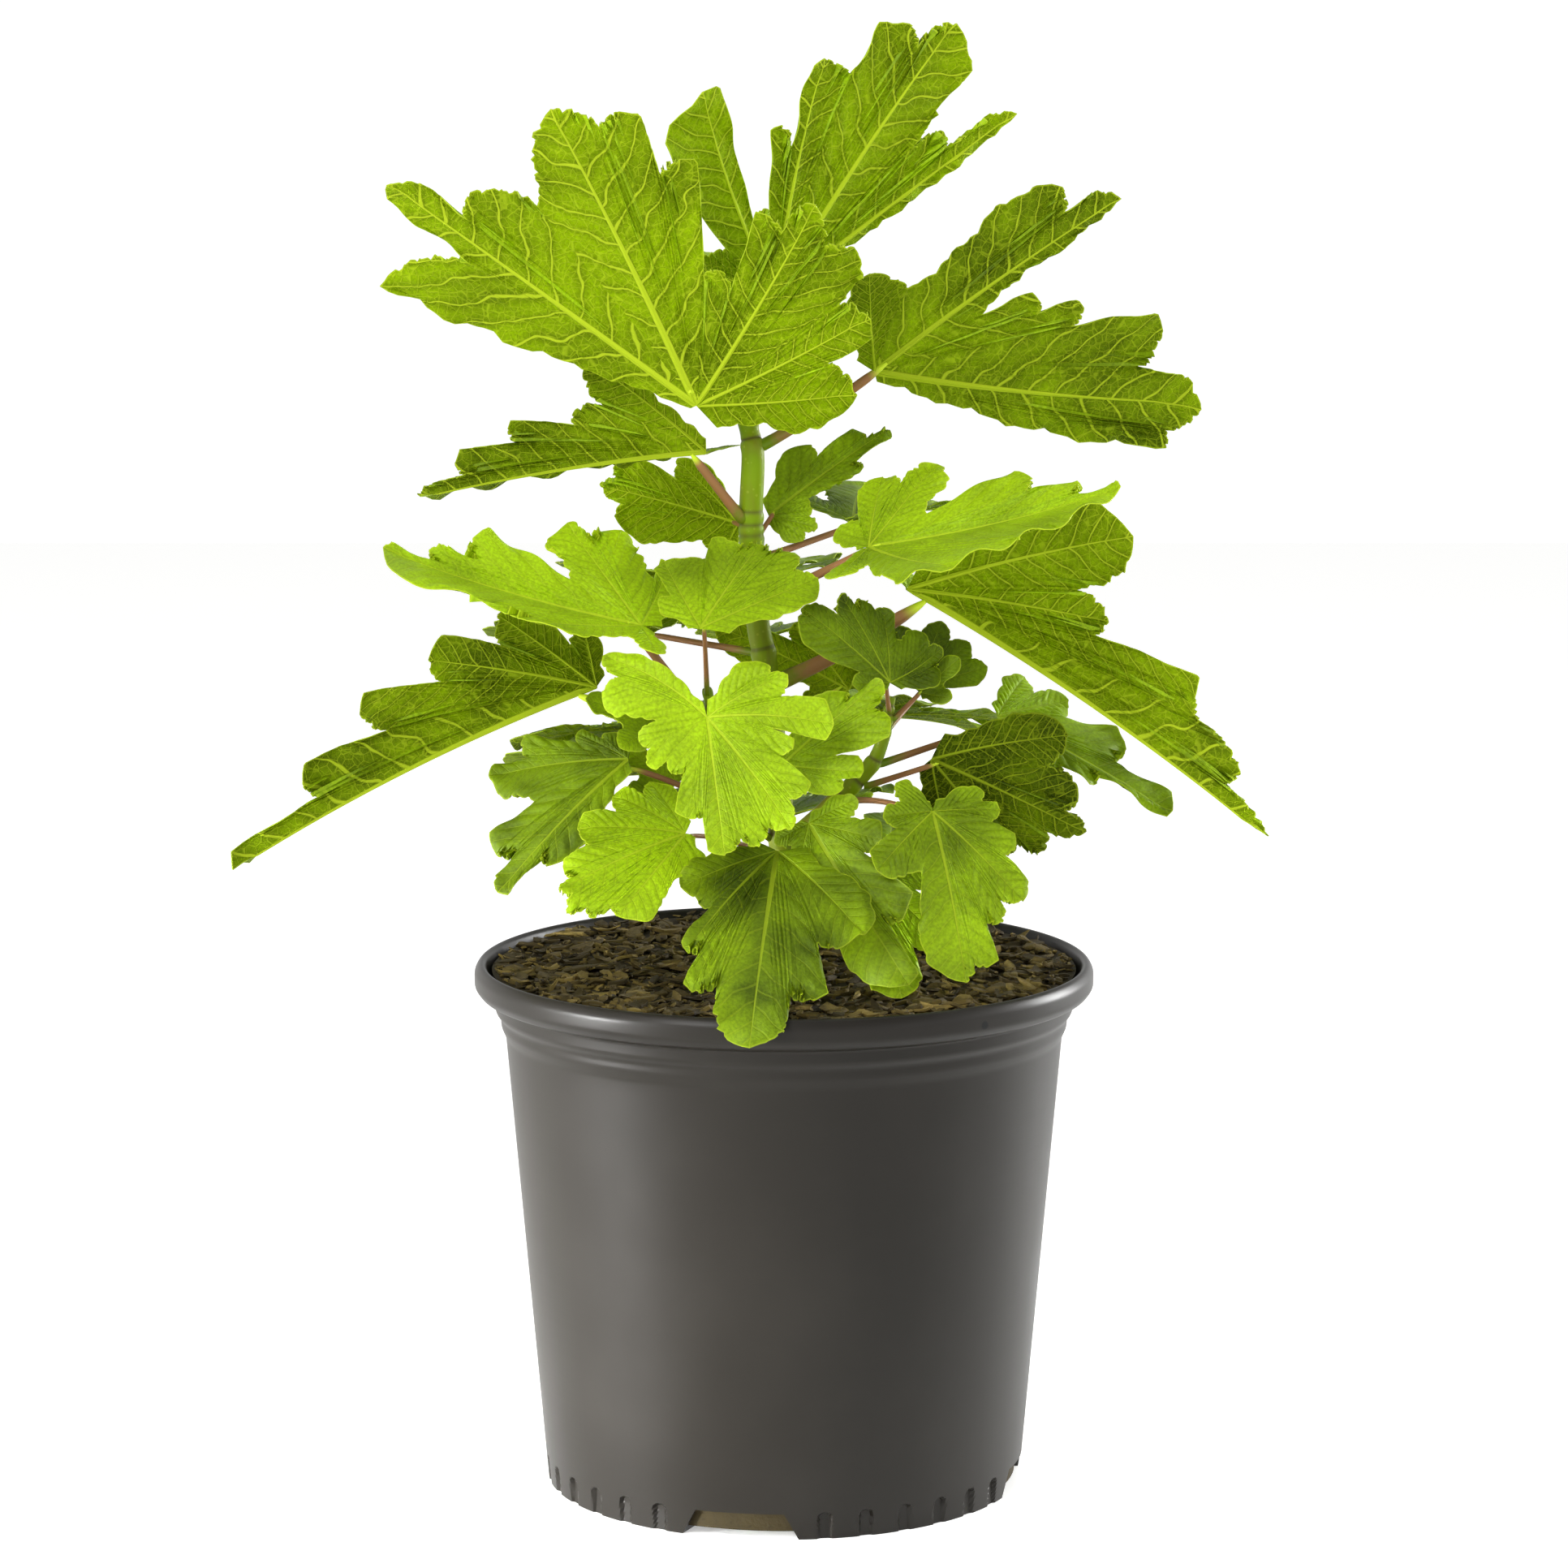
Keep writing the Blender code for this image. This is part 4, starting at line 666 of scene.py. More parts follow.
def pine_bark(dark, light):
    """Bark mulch: rough chips with a layered grain, dark outside and paler where broken."""
    material, tree, shader = new_material("pine_bark", 0.82, 1.5)
    shader.inputs["Specular IOR Level"].default_value = 0.3
    grain = add_node(tree, "ShaderNodeUVMap", uv_map="grain").outputs[0]
    tone = add_node(tree, "ShaderNodeAttribute", attribute_name="tone").outputs["Fac"]
    place = add_node(tree, "ShaderNodeTexCoord").outputs["Object"]
    # "grain" counts centimetres too: layers some 4.5 mm apart and 29 mm long; crumbs of 2 mm
    stretched = add_node(tree, "ShaderNodeMapping", {"Vector": grain, "Scale": (0.25, 1.6, 1)})
    layers = add_node(tree, "ShaderNodeTexNoise", {"Vector": stretched.outputs[0],
                                                   "Scale": 1.4, "Detail": 5.0})
    crumb = add_node(tree, "ShaderNodeTexNoise", {"Vector": place, "Scale": 500.0, "Detail": 4.0})
    lit = calc(tree, "MULTIPLY", tone, ramp(tree, layers.outputs["Fac"], 0.3, 0.7, 0.45, 1.15))
    colour = mix(tree, add_node(tree, "ShaderNodeClamp", {0: lit}).outputs[0], dark, light)
    colour = mix(tree, ramp(tree, crumb.outputs["Fac"], 0.55, 0.75, 0.0, 0.5), colour,
                 tuple(0.35 * c for c in dark))
    tree.links.new(colour, shader.inputs["Base Color"])
    height = calc(tree, "ADD", layers.outputs["Fac"], calc(
        tree, "MULTIPLY", crumb.outputs["Fac"], 0.6))
    bump = add_node(tree, "ShaderNodeBump", {"Height": height, "Distance": 0.9 * MM,
                                             "Strength": 0.9})
    tree.links.new(bump.outputs[0], shader.inputs["Normal"])
    return material


def lit_acrylic(colour):
    """Studio floor: white translucent sheet, lit from below so that shadows stay faint."""
    material, tree, shader = new_material("lit_acrylic", 0.9, 1.49)
    shader.inputs["Specular IOR Level"].default_value = 0.1
    shader.inputs["Emission Color"].default_value = (1, 1, 1, 1)
    shader.inputs["Emission Strength"].default_value = 0.42
    place = add_node(tree, "ShaderNodeTexCoord").outputs["Object"]
    # clouds of some 17 mm that hardly show
    cloud = add_node(tree, "ShaderNodeTexNoise", {"Vector": place, "Scale": 60.0, "Detail": 3.0})
    paler = tuple(min(1.0, c * 1.02) for c in colour)
    tree.links.new(mix(tree, cloud.outputs["Fac"], colour, paler), shader.inputs["Base Color"])
    return material


def grid_quads(rows, columns, wrap=False):
    """Corner numbers of the quads of a grid of points, row after row."""
    index = np.arange(rows * columns).reshape(rows, columns)
    if wrap:
        index = np.hstack([index, index[:, :1]])
    corners = [index[:-1, :-1], index[:-1, 1:], index[1:, 1:], index[1:, :-1]]
    return np.stack(corners, -1).reshape(-1, 4)


def weld(points, quads):
    """Merge points that coincide, cut each quad in two, and drop the empty triangles."""
    keys = np.round(points * WELD_STEPS).astype(np.int64)
    _, first, merged = np.unique(keys, axis=0, return_index=True, return_inverse=True)
    merged = merged.reshape(-1)
    corners = quads[:, [0, 1, 2, 0, 2, 3]].reshape(-1, 3)
    met = merged[corners]
    whole = (met[:, 0] != met[:, 1]) & (met[:, 1] != met[:, 2]) & (met[:, 2] != met[:, 0])
    return first, merged, corners[whole]


def fill_mesh(name, points, triangles, materials, slots=None, maps=None, marks=None, crease=50):
    """A smooth-shaded object of these triangles, its UV maps by corner, its marks by point."""
    mesh = bpy.data.meshes.new(name)
    mesh.from_pydata(points.tolist(), [], triangles.tolist())
    for material in materials:
        mesh.materials.append(material)
    if slots is not None:
        mesh.polygons.foreach_set("material_index", slots.astype(np.int32))
    for label, values in (maps or {}).items():
        layer = mesh.uv_layers.new(name=label)
        layer.data.foreach_set("uv", values.astype(np.float32).ravel())
    for label, values in (marks or {}).items():
        layer = mesh.attributes.new(label, "FLOAT", "POINT")
        layer.data.foreach_set("value", values.astype(np.float32))
    mesh.shade_smooth()
    mesh.set_sharp_from_angle(angle=radians(crease))
    mesh.update()
    piece = bpy.data.objects.new(name, mesh)
    bpy.context.scene.collection.objects.link(piece)
    return piece


def stand_for(piece, node):
    """The piece rides with the plant and shows in place of its solid."""
    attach(piece, "root")
    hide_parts(node)


def smooth_way(points, radii, steps):
    """A Catmull-Rom curve through the points, with the radii carried along it."""
    knots = np.column_stack([np.array(points, float), np.array(radii, float)]) * MM
    ends = np.vstack([2 * knots[0] - knots[1], knots, 2 * knots[-1] - knots[-2]])
    t = (np.arange(steps) / steps)[None, :, None]
    p0, p1, p2, p3 = (ends[k:k + len(knots) - 1, None] for k in range(4))
    rows = 0.5 * (2 * p1 + (p2 - p0) * t + (2 * p0 - 5 * p1 + 4 * p2 - p3) * t * t
                  + (3 * p1 - p0 - 3 * p2 + p3) * t ** 3)
    rows = np.vstack([rows.reshape(-1, 4), knots[-1:]])
    return rows[:, :3], rows[:, 3]


def tube_points(way, radii, sides, level):
    """Rings round a way: centre + radius * (cos a * U + sin a * V), U and V square to the way.

    U lies nearest to the given level direction. Both ends shrink to a point.
    """
    way = np.vstack([way[:1], way, way[-1:]])
    radii = np.concatenate([[0], radii, [0]])
    ahead = np.gradient(way, axis=0)
    ahead[0], ahead[-1] = ahead[1], ahead[-2]
    ahead /= np.linalg.norm(ahead, axis=1, keepdims=True)
    across = level - ahead * (ahead @ level)[:, None]
    across /= np.linalg.norm(across, axis=1, keepdims=True)
    other = np.cross(ahead, across)
    angle = 2 * np.pi * np.arange(sides) / sides
    spokes = (np.cos(angle)[None, :, None] * across[:, None]
              + np.sin(angle)[None, :, None] * other[:, None])
    return way[:, None] + radii[:, None, None] * spokes


def axis_at(name, height):
    """Centre and radius of a limb at a height above the ground, as the solid has them."""
    way, radii = smooth_way(LIMBS[name].way, LIMBS[name].radii, 2)
    centre = [np.interp(height, way[:, 2], way[:, axis]) for axis in range(3)]
    return Vector(centre), float(np.interp(height, way[:, 2], radii))


def clear_start(parent, height, towards, own_radius):
    """The point beside a parent limb where the solid's stalk starts, and its way out."""
    centre, radius = axis_at(parent, height)
    out = Vector((towards.x - centre.x, towards.y - centre.y, 0)).normalized()
    below, _ = axis_at(parent, height - own_radius)
    above, _ = axis_at(parent, height + own_radius)
    lean = (above - below).normalized().dot(out)
    bulge = radius / (1 - lean * lean) ** 0.5
    shift = max((below - centre).dot(out), (above - centre).dot(out), 0)
    return centre + out * (bulge + shift + STALK_CLEAR), out


def node_heights(name):
    """Heights along a limb where leaves and side limbs grow out."""
    heights = [leaf.node for leaf in SHOWN_LEAVES.values() if leaf.limb == name]
    heights += [far.node for far in FAR_LEAVES.values() if far.limb == name]
    heights += [limb.way[0][2] for limb in LIMBS.values() if limb.parent == name]
    return np.array(sorted(heights)) * MM


def cut_finer(way, radii, times):
    """The same way and radii with that many times the points, set along straight lines."""
    steps = np.arange(len(way))
    finer = np.linspace(0, steps[-1], times * len(way))
    way = np.stack([np.interp(finer, steps, way[:, axis]) for axis in range(3)], 1)
    return way, np.interp(finer, steps, radii)


def dress_limb(name, settings, bark):
    """One limb as a ringed stem: radius * (1 + swelling at each node), dark at the scars.

    Faint ridges wind round it: radius * (1 + depth * sin(count * angle + twist * way along)).
    """
    limb = LIMBS[name]
    way, radii = smooth_way(limb.way, limb.radii, STEM_STEPS)
    if limb.parent:
        aim = Vector(way[3 * STEM_STEPS // 2])
        start, out = clear_start(limb.parent, way[0, 2], aim, radii[0])
        inside = np.array(start - out * SHOOT_BURIED)
        way = np.vstack([inside, np.array(start), way[STEM_STEPS:]])
        radii = np.concatenate([radii[0] * np.array(SHOOT_SWELL), radii[STEM_STEPS:]])
    way, radii = cut_finer(way, radii, SHOOT_FINER if limb.parent else STEM_FINER)
    away = (way[:, 2, None] - node_heights(name)[None]) / MM
    swell = np.exp(-(away / NODE_HALF) ** 2).max(1)
    groove = np.exp(-((away - SCAR_ABOVE) / SCAR_HALF) ** 2).max(1)
    radii = radii + settings.ring * (swell - SCAR_SHARE * groove)
    points = tube_points(way, radii, STEM_SIDES, np.array([1.0, 0.0, 0.0]))
    rings = len(points)
    angle = 2 * np.pi * np.arange(STEM_SIDES) / STEM_SIDES
    centre = points.mean(1, keepdims=True)
    twist = RIDGE_TWIST * np.arange(rings)[:, None] / rings
    ripple = 1 + RIDGE_DEPTH * np.sin(RIDGE_COUNT * angle + twist)
    points = centre + (points - centre) * ripple[:, :, None]
    ring = np.concatenate([groove[:1], groove, groove[-1:]]).repeat(STEM_SIDES)
    flat = points.reshape(-1, 3)
    first, merged, corners = weld(flat, grid_quads(rings, STEM_SIDES, wrap=True))
    piece = fill_mesh(name + "_stem", flat[first], merged[corners], [bark],
                      marks={"ring": ring[first]}, crease=80)
    stand_for(piece, name)


def lobe_teeth(length, spread):
    """Teeth on each side of a lobe of that length, with that much room beside it."""
    if spread < NARROW_LOBE or length < SMALL_LOBE:
        return 1
    return 2 if length < MIDDLING_LOBE else 3


def half_lobe(length, width, sinus_radius, half_gap, teeth, start_width, small):
    """Vein and margin of half a lobe, as the solid's, with small teeth added.

    Half width = width * swell(q) * (1 - fall(q)^2)^0.75 * (1 + scallop * |sin(pi teeth q)|),
    eased into the notch, or start * (1 - q^1.8) beside a shallow notch, plus |sin| teeth up
    to 2 mm deep, and held to its own side of the line to the next lobe.
    """
    q = np.linspace(0, 1, COLUMNS + 1)
    start_x = sinus_radius * cos(half_gap)
    start_y = sinus_radius * sin(half_gap)
    rise = np.clip(q / LOBE_WIDEST, 0, 1)
    swell = start_width + (1 - start_width) * rise * rise * (3 - 2 * rise)
    fall = np.clip((q - LOBE_WIDEST) / (1 - LOBE_WIDEST), 0, 1)
    body = width * swell * (1 - fall ** 2) ** TIP_ROUND
    scallop = 1 + SCALLOP * np.abs(np.sin(np.pi * teeth * q))
    ease = (start_y - width * start_width) * np.exp(-q / NOTCH_EASE) * (1 - q)
    pointed = start_y * (1 - q ** TOOTH_POINT)
    toothed = np.clip((sinus_radius / length - LOBE_NOTCH) / (TOOTH_NOTCH - LOBE_NOTCH), 0, 1)
    margin_y = (1 - toothed) * (body * scallop + ease) + toothed * pointed
    margin_x = start_x + (length - start_x) * q
    count, depth, phase = small
    room = np.clip(q / TOOTH_FADE_START, 0, 1)
    room *= np.clip((1 - q) / TOOTH_FADE_END, 0, 1)
    turns = np.pi * count * q + phase
    crenate = np.abs(np.sin(turns)) - 0.5
    crenate += TOOTH_UNEQUAL * np.sin(TOOTH_BEAT * q * count + phase)
    margin_y = margin_y + depth * room * crenate
    margin_x = margin_x + TOOTH_LEAN * depth * room * np.cos(turns)
    halfway = margin_x * np.tan(half_gap) * (1 - HALFWAY_CLEAR * q)
    return length * q ** VEIN_CROWDING, margin_x, np.clip(margin_y, 0, halfway)


def bend(x, y, fold, droop):
    """Flat blade to bent blade, in blade lengths.

    Each vein rises by half the droop, then curls down evenly: along = (sin s - sin(s - c r))
    / c and up = (cos(s - c r) - cos s) / c, with s half the droop c. Both sides of the
    midrib swing up by the fold.
    """
    reach = np.hypot(x, y)
    angle = np.arctan2(y, x) * (1 + LOBE_ARC * np.clip(1 - reach, 0, 1))
    curl = radians(droop) or STRAIGHT_CURL
    start = curl / 2
    along = (np.sin(start) - np.sin(start - curl * reach)) / curl
    up = (np.cos(start - curl * reach) - np.cos(start)) / curl
    side = along * np.sin(angle)
    swing = radians(fold)
    return np.stack([along * np.cos(angle), side * cos(swing), up + np.abs(side) * sin(swing)], 1)


def place(points, leaf):
    """Bent blade points set between the leaf's base and tip, upper face as the leaf looks."""
    base = Vector(leaf.base) * MM
    chord = Vector(leaf.tip) * MM - base
    forward = chord.normalized()
    looks = Vector(leaf.faces)
    normal = (looks - forward * looks.dot(forward)).normalized()
    side = normal.cross(forward)
    end = bend(np.array([1.0]), np.array([0.0]), leaf.fold, leaf.droop)[0]
    size = hypot(end[0], end[2])
    ahead = (points[:, 0] * end[0] + points[:, 2] * end[2]) / size
    lift = (points[:, 2] * end[0] - points[:, 0] * end[2]) / size
    axes = np.array([forward, side, normal])
    scale = chord.length / size
    return np.array(base) + scale * np.stack([ahead, points[:, 1], lift], 1) @ axes


def notch_between(first, second, notches):
    """Angle and radius of the notch between two lobes: a given one, or by rule."""
    for angle, share in notches:
        if first[0] < angle < second[0]:
            return angle, share
    gap = second[0] - first[0]
    return (first[0] + second[0]) / 2, min(first[1], second[1]) * max(0.2, 1 - gap / NOTCH_REACH)


def main_lobes(lobes):
    """The lobes with a vein of their own from the petiole: the longest ones, well apart."""
    mains = [lobe for lobe in lobes if lobe[0] == 0]
    for lobe in sorted(lobes, key=lambda each: -each[1]):
        apart = min(abs(lobe[0] - main[0]) for main in mains)
        if len(mains) < MAIN_VEINS and apart >= VEIN_APART:
            mains.append(lobe)
    return mains


def vein_order(own_x, off, scale, knots):
    """Number of the side vein through a point: whole on a vein, and rising towards the tip.

    A side vein leaves the main one and curves forward: own_x - lean * off - curve * off^2
    stays the same along it. The numbers are set so that a tooth's tip has a whole one.
    """
    level = (own_x - VEIN_LEAN * off - VEIN_CURVE * off * off / scale) / (VEIN_SPACING * scale)
    if not knots:
        return level
    whole = np.maximum.accumulate(np.round(knots) + np.arange(len(knots)) * 1e-3)
    shift = np.interp(level, knots, whole - np.array(knots))
    return level + shift


def lobe_halves(leaf, lobes, k):
    """A lobe's right and left half: side, width, notch radius, half gap, width at the notch."""
    angle, size, *shares = lobes[k]
    halves = []
    for hand, beside in ((-1, k - 1), (1, k + 1)):
        width = LOBE_WIDTH * size * shares[hand > 0]
        if 0 <= beside < len(lobes):
            pair = sorted((lobes[k], lobes[beside]))
            between, radius = notch_between(*pair, leaf.notches)
            halves.append((hand, width, radius, abs(between - angle), INNER_START))
        else:
            radius = OUTER_NOTCH * size * min(1, shares[hand > 0])
            spread = min(OUTER_SPREAD, BLADE_REACH - abs(angle))
            halves.append((hand, width, radius, spread, OUTER_START))
    return halves


def vein_knots(lobes, owners, owner, side):
    """Levels of the side veins that end in the teeth and lobes on one side of a main vein."""
    knots = []
    for other, its_owner in zip(lobes, owners):
        apart = radians(other[0] - owner[0])
        if its_owner == owner and other != owner and apart * side > 0:
            off = abs(other[1] * sin(apart))
            knots.append((other[1] * cos(apart) - VEIN_LEAN * off
                          - VEIN_CURVE * off ** 2 / owner[1]) / (VEIN_SPACING * owner[1]))
    return sorted(knots)


def turned(points, angle):
    """The x and y of flat points turned by an angle."""
    x, y = points[..., 0], points[..., 1]
    return x * cos(angle) - y * sin(angle), x * sin(angle) + y * cos(angle)


def blade_grids(leaf, length, settings):
    """Raw points of every half lobe of a blade, with their vein numbers and corner quads."""
    lobes = sorted((lobe + (1, 1))[:4] for lobe in leaf.lobes + ((0, 1) + leaf.middle,))
    mains = main_lobes(lobes)
    owners = [min(mains, key=lambda main: abs(main[0] - lobe[0])) for lobe in lobes]
    flat, veins, reach, ribs, quads = [], [], [], [], []
    rib_taper = 1 - RIB_TAPER * np.linspace(0, 1, COLUMNS + 1)
    for k, (angle, size, *_) in enumerate(lobes):
        owner = owners[k]
        halves = lobe_halves(leaf, lobes, k)
        teeth = lobe_teeth(size * length, max(half[3] for half in halves))
        for hand, width, radius, half_gap, start_width in halves:
            small = (max(2, round(size * length / TOOTH_PITCH)),
                     min(settings.crenation / length, TOOTH_LIMIT), angle + hand)
            foot_x, margin_x, margin_y = half_lobe(size, width, radius, radians(half_gap),
                                                   teeth, start_width, small)
            foot = np.stack([foot_x, 0 * foot_x], 1)
            edge = np.stack([margin_x, hand * margin_y], 1)
            edge[-1] = foot[-1]
            own = foot[None] + ROWS[:, None, None] * (edge - foot)[None]
            near_x, near_y = turned(own, radians(angle) - radians(owner[0]))
            side = hand if owner[0] == angle else (1 if angle > owner[0] else -1)
            order = vein_order(near_x, np.abs(near_y), owner[1],
                               vein_knots(lobes, owners, owner, side))
            to_edge = (1 - ROWS)[:, None] * np.linalg.norm(edge - foot, axis=1)[None]
            rib = np.zeros((len(ROWS), COLUMNS + 1))
            if owner[0] == angle:
                rib[0] = rib_taper
                rib[1] = RIB_SHOULDER * rib_taper
            block = grid_quads(*rib.shape) + len(flat) * rib.size
            quads.append(block if hand > 0 else block[:, ::-1])
            flat.append(np.stack(turned(own, radians(angle)), -1).reshape(-1, 2))
            veins.append(np.stack([order, np.abs(near_y) / owner[1]], -1).reshape(-1, 2))
            reach.append(np.stack([near_x / owner[1], to_edge * length / PATTERN_UNIT],
                                  -1).reshape(-1, 2))
            ribs.append(rib.reshape(-1))
    return [np.concatenate(rows) for rows in (flat, veins, reach, ribs, quads)]


def point_normals(points, triangles):
    """Area-weighted unit normals of a surface's points."""
    crossed = np.cross(points[triangles[:, 1]] - points[triangles[:, 0]],
                       points[triangles[:, 2]] - points[triangles[:, 0]])
    normals = np.zeros_like(points)
    for corner in range(3):
        np.add.at(normals, triangles[:, corner], crossed)
    return normals / np.maximum(np.linalg.norm(normals, axis=1, keepdims=True), 1e-12)


def petiole_grid(leaf):
    """The petiole as a tube along start (1-t)^2 + middle 2t(1-t) + end t^2, swollen at its foot."""
    base = Vector(leaf.base) * MM
    chord = Vector(leaf.tip) * MM - base
    end_radius = max(PETIOLE_THINNEST, PETIOLE_RADIUS * chord.length)
    start_radius = end_radius * PETIOLE_FLARE
    start, out = clear_start(leaf.limb, leaf.node * MM, base, start_radius)
    end = base + chord * PETIOLE_INTO_BLADE
    middle = (start + end) / 2 + Vector((0, 0, leaf.bow * (end - start).length))
    inside = np.array(start - out * PETIOLE_BURIED)
    start, middle, end = (np.array(point) for point in (start, middle, end))
    t = np.linspace(0, 1, PETIOLE_RINGS)[:, None]
    way = np.vstack([inside, start * (1 - t) ** 2 + middle * 2 * t * (1 - t) + end * t * t])
    radii = end_radius + (start_radius - end_radius) * (1 - t[:, 0]) ** 3
    radii *= np.clip((1.02 - t[:, 0]) / PETIOLE_FADE, 0, 1) ** 0.5
    radii = np.concatenate([radii[:1] * 1.1, radii])
    level = np.cross(end - start, np.array([0.0, 0.0, 1.0]))
    points = tube_points(way, radii, PETIOLE_SIDES, level / np.linalg.norm(level))
    along = np.linspace(0, 1, len(points)).repeat(PETIOLE_SIDES)
    return points.reshape(-1, 3), grid_quads(*points.shape[:2], wrap=True), along


def blade_lift(flat, veins, to_edge, length, phase, settings):
    """How far each point of a blade is lifted off its solid's middle surface.

    Lift = ruffle * exp(-(edge / reach)^2) * sin(waves * (r + slant * angle) + phase) near the
    margin, plus quilt * |sin(pi * vein number)| between side veins, less on a small leaf.
    """
    spread = np.hypot(flat[:, 0], flat[:, 1])
    turn = np.arctan2(flat[:, 1], flat[:, 0])
    margin = np.exp(-(to_edge / RUFFLE_REACH) ** 2)
    margin *= np.clip((spread - RUFFLE_START) / RUFFLE_RISE, 0, 1)
    waves = 2 * np.pi * length / RUFFLE_WAVE
    lift = settings.ruffle * margin * np.sin(waves * (spread + RUFFLE_SLANT * turn) + phase)
    inner = np.clip(veins[:, 1] / QUILT_EDGE, 0, 1) * np.clip(to_edge / QUILT_EDGE, 0, 1)
    lift += settings.quilt * inner * np.abs(np.sin(np.pi * veins[:, 0]))
    return lift * min(1.0, length / FULL_RELIEF)


def rim_faces(triangles, corners, total):
    """Triangles that close a blade's edge, from its upper side to its lower, and their sources.

    An edge is on the rim where no other triangle has it the other way round.
    """
    directed = np.vstack([triangles[:, [0, 1]], triangles[:, [1, 2]], triangles[:, [2, 0]]])
    raw = np.vstack([corners[:, [0, 1]], corners[:, [1, 2]], corners[:, [2, 0]]])
    lone = ~np.isin(directed[:, 0] * total + directed[:, 1],
                    directed[:, 1] * total + directed[:, 0])
    a, b = directed[lone].T
    raw_a, raw_b = raw[lone].T
    rim = np.vstack([np.stack([b, a, a + total], 1), np.stack([b, a + total, b + total], 1)])
    sources = np.vstack([np.stack([raw_b, raw_a, raw_a], 1), np.stack([raw_b, raw_a, raw_b], 1)])
    return rim, sources


def dress_leaf(name, leaf, settings, skins):
    """One leaf: a thin closed blade with raised ribs below, and its petiole.

    The blade's middle surface is the solid's, lifted along its normal by the waves, then
    given its two sides: normal * half the thickness above, and the same and the rib below.
    """
    length = (Vector(leaf.tip) - Vector(leaf.base)).length * MM
    flat, veins, reach, ribs, quads = blade_grids(leaf, length, settings)
    middle = place(bend(flat[:, 0], flat[:, 1], leaf.fold, leaf.droop), leaf)
    first, merged, corners = weld(middle, quads)
    surface = middle[first]
    triangles = merged[corners]
    to_edge = np.clip(reach[:, 1][first] * PATTERN_UNIT / length, 0, None)
    lift = blade_lift(flat[first], veins[first], to_edge, length, leaf.node, settings)
    surface = surface + point_normals(surface, triangles) * lift[:, None]
    normals = point_normals(surface, triangles)
    half = settings.thickness / 2
    size = min(1.0, RIB_LEAST + length / RIB_GROWTH)
    below = half + settings.rib * size * ribs[first]
    total = len(surface)
    rim, rim_sources = rim_faces(triangles, corners, total)

    stalk, stalk_quads, along = petiole_grid(leaf)
    stalk_first, stalk_merged, stalk_corners = weld(stalk, stalk_quads)
    stalk_triangles = stalk_merged[stalk_corners] + 2 * total

    points = np.vstack([surface + normals * half, surface - normals * below[:, None],
                        stalk[stalk_first]])
    faces = np.vstack([triangles, triangles[:, ::-1] + total, rim, stalk_triangles])
    sources = np.vstack([corners, corners[:, ::-1], rim_sources]).reshape(-1)
    spot = flat * length / PATTERN_UNIT
    blank = np.zeros((stalk_corners.size, 2))
    reach_stalk = np.stack([along[stalk_corners.reshape(-1)], blank[:, 0]], 1)
    maps = {"veins": np.vstack([veins[sources], blank]),
            "reach": np.vstack([reach[sources], reach_stalk]),
            "spot": np.vstack([spot[sources], blank])}
    slots = np.repeat([0, 1, 0, 2], [len(triangles), len(triangles), len(rim),
                                     len(stalk_triangles)])
    # the leaf's tone: its age and the painted shade of where it lies
    tone = np.full(len(points), LEAF_TONES_AND_SHADE.get(name, MIDDLING_TONE))
    piece = fill_mesh(name + "_blade", points, faces, skins, slots, maps, {"tone": tone})
    stand_for(piece, name)


def far_leaf(far):
    """A leaf of the far side from its own few sizes: it reaches straight out, face up."""
    turn = radians(far.azimuth)
    centre, _ = axis_at(far.limb, far.node * MM)
    out = Vector((cos(turn), sin(turn), 0))
    rise = radians(far.rise)
    pitch = radians(far.pitch)
    up = Vector((0, 0, 1))
    base = centre / MM + far.petiole * (cos(rise) * out + sin(rise) * up)
    tip = base + far.length * (cos(pitch) * out + sin(pitch) * up)
    return Leaf(tuple(base), tuple(tip), (0, 0, 1), FAR_LOBES, far.limb, far.node, FAR_NOTCHES,
                fold=FAR_FOLD, droop=FAR_DROOP)


def leaf_skins(settings):
    """The leaf's three materials: upper side, underside and petiole, made once."""
    skins = [bpy.data.materials.get(name) for name in ("leaf_upper_side", "leaf_underside",
                                                       "petiole_skin")]
    if all(skins):
        return skins
    upper = leaf_side("leaf_upper_side", tuple(settings.upper), tuple(settings.upper_dark),
                      tuple(settings.vein), under=False)
    under = leaf_side("leaf_underside", tuple(settings.under), tuple(settings.under_dark),
                      tuple(settings.vein), under=True)
    green = tuple(0.5 * (a + b) for a, b in zip(settings.under, settings.under_dark))
    return [upper, under, petiole_skin(tuple(settings.petiole), green, tuple(settings.vein))]


class FIG_OT_shown_leaves(bpy.types.Operator):
    """Build the leaves that the photograph shows"""
    bl_idname = "fig.shown_leaves"
    bl_label = "Front leaves"

    def execute(self, context):
        settings = context.scene.fig_tree.leaf
        skins = leaf_skins(settings)
        for name, leaf in SHOWN_LEAVES.items():
            dress_leaf(name, leaf, settings, skins)
        return {"FINISHED"}


class FIG_OT_far_leaves(bpy.types.Operator):
    """Build the leaves on the far side"""
    bl_idname = "fig.far_leaves"
    bl_label = "Far leaves"

    def execute(self, context):
        settings = context.scene.fig_tree.leaf
        skins = leaf_skins(settings)
        for name, far in FAR_LEAVES.items():
            dress_leaf(name, far_leaf(far), settings, skins)
        return {"FINISHED"}


class FIG_OT_stem(bpy.types.Operator):
    """Build the trunk and its side shoots"""
    bl_idname = "fig.stem"
    bl_label = "Stem"

    def execute(self, context):
        settings = context.scene.fig_tree.stem
        bark = green_bark(tuple(settings.green), tuple(settings.brown), tuple(settings.scar))
        for name in LIMBS:
            dress_limb(name, settings, bark)
        return {"FINISHED"}


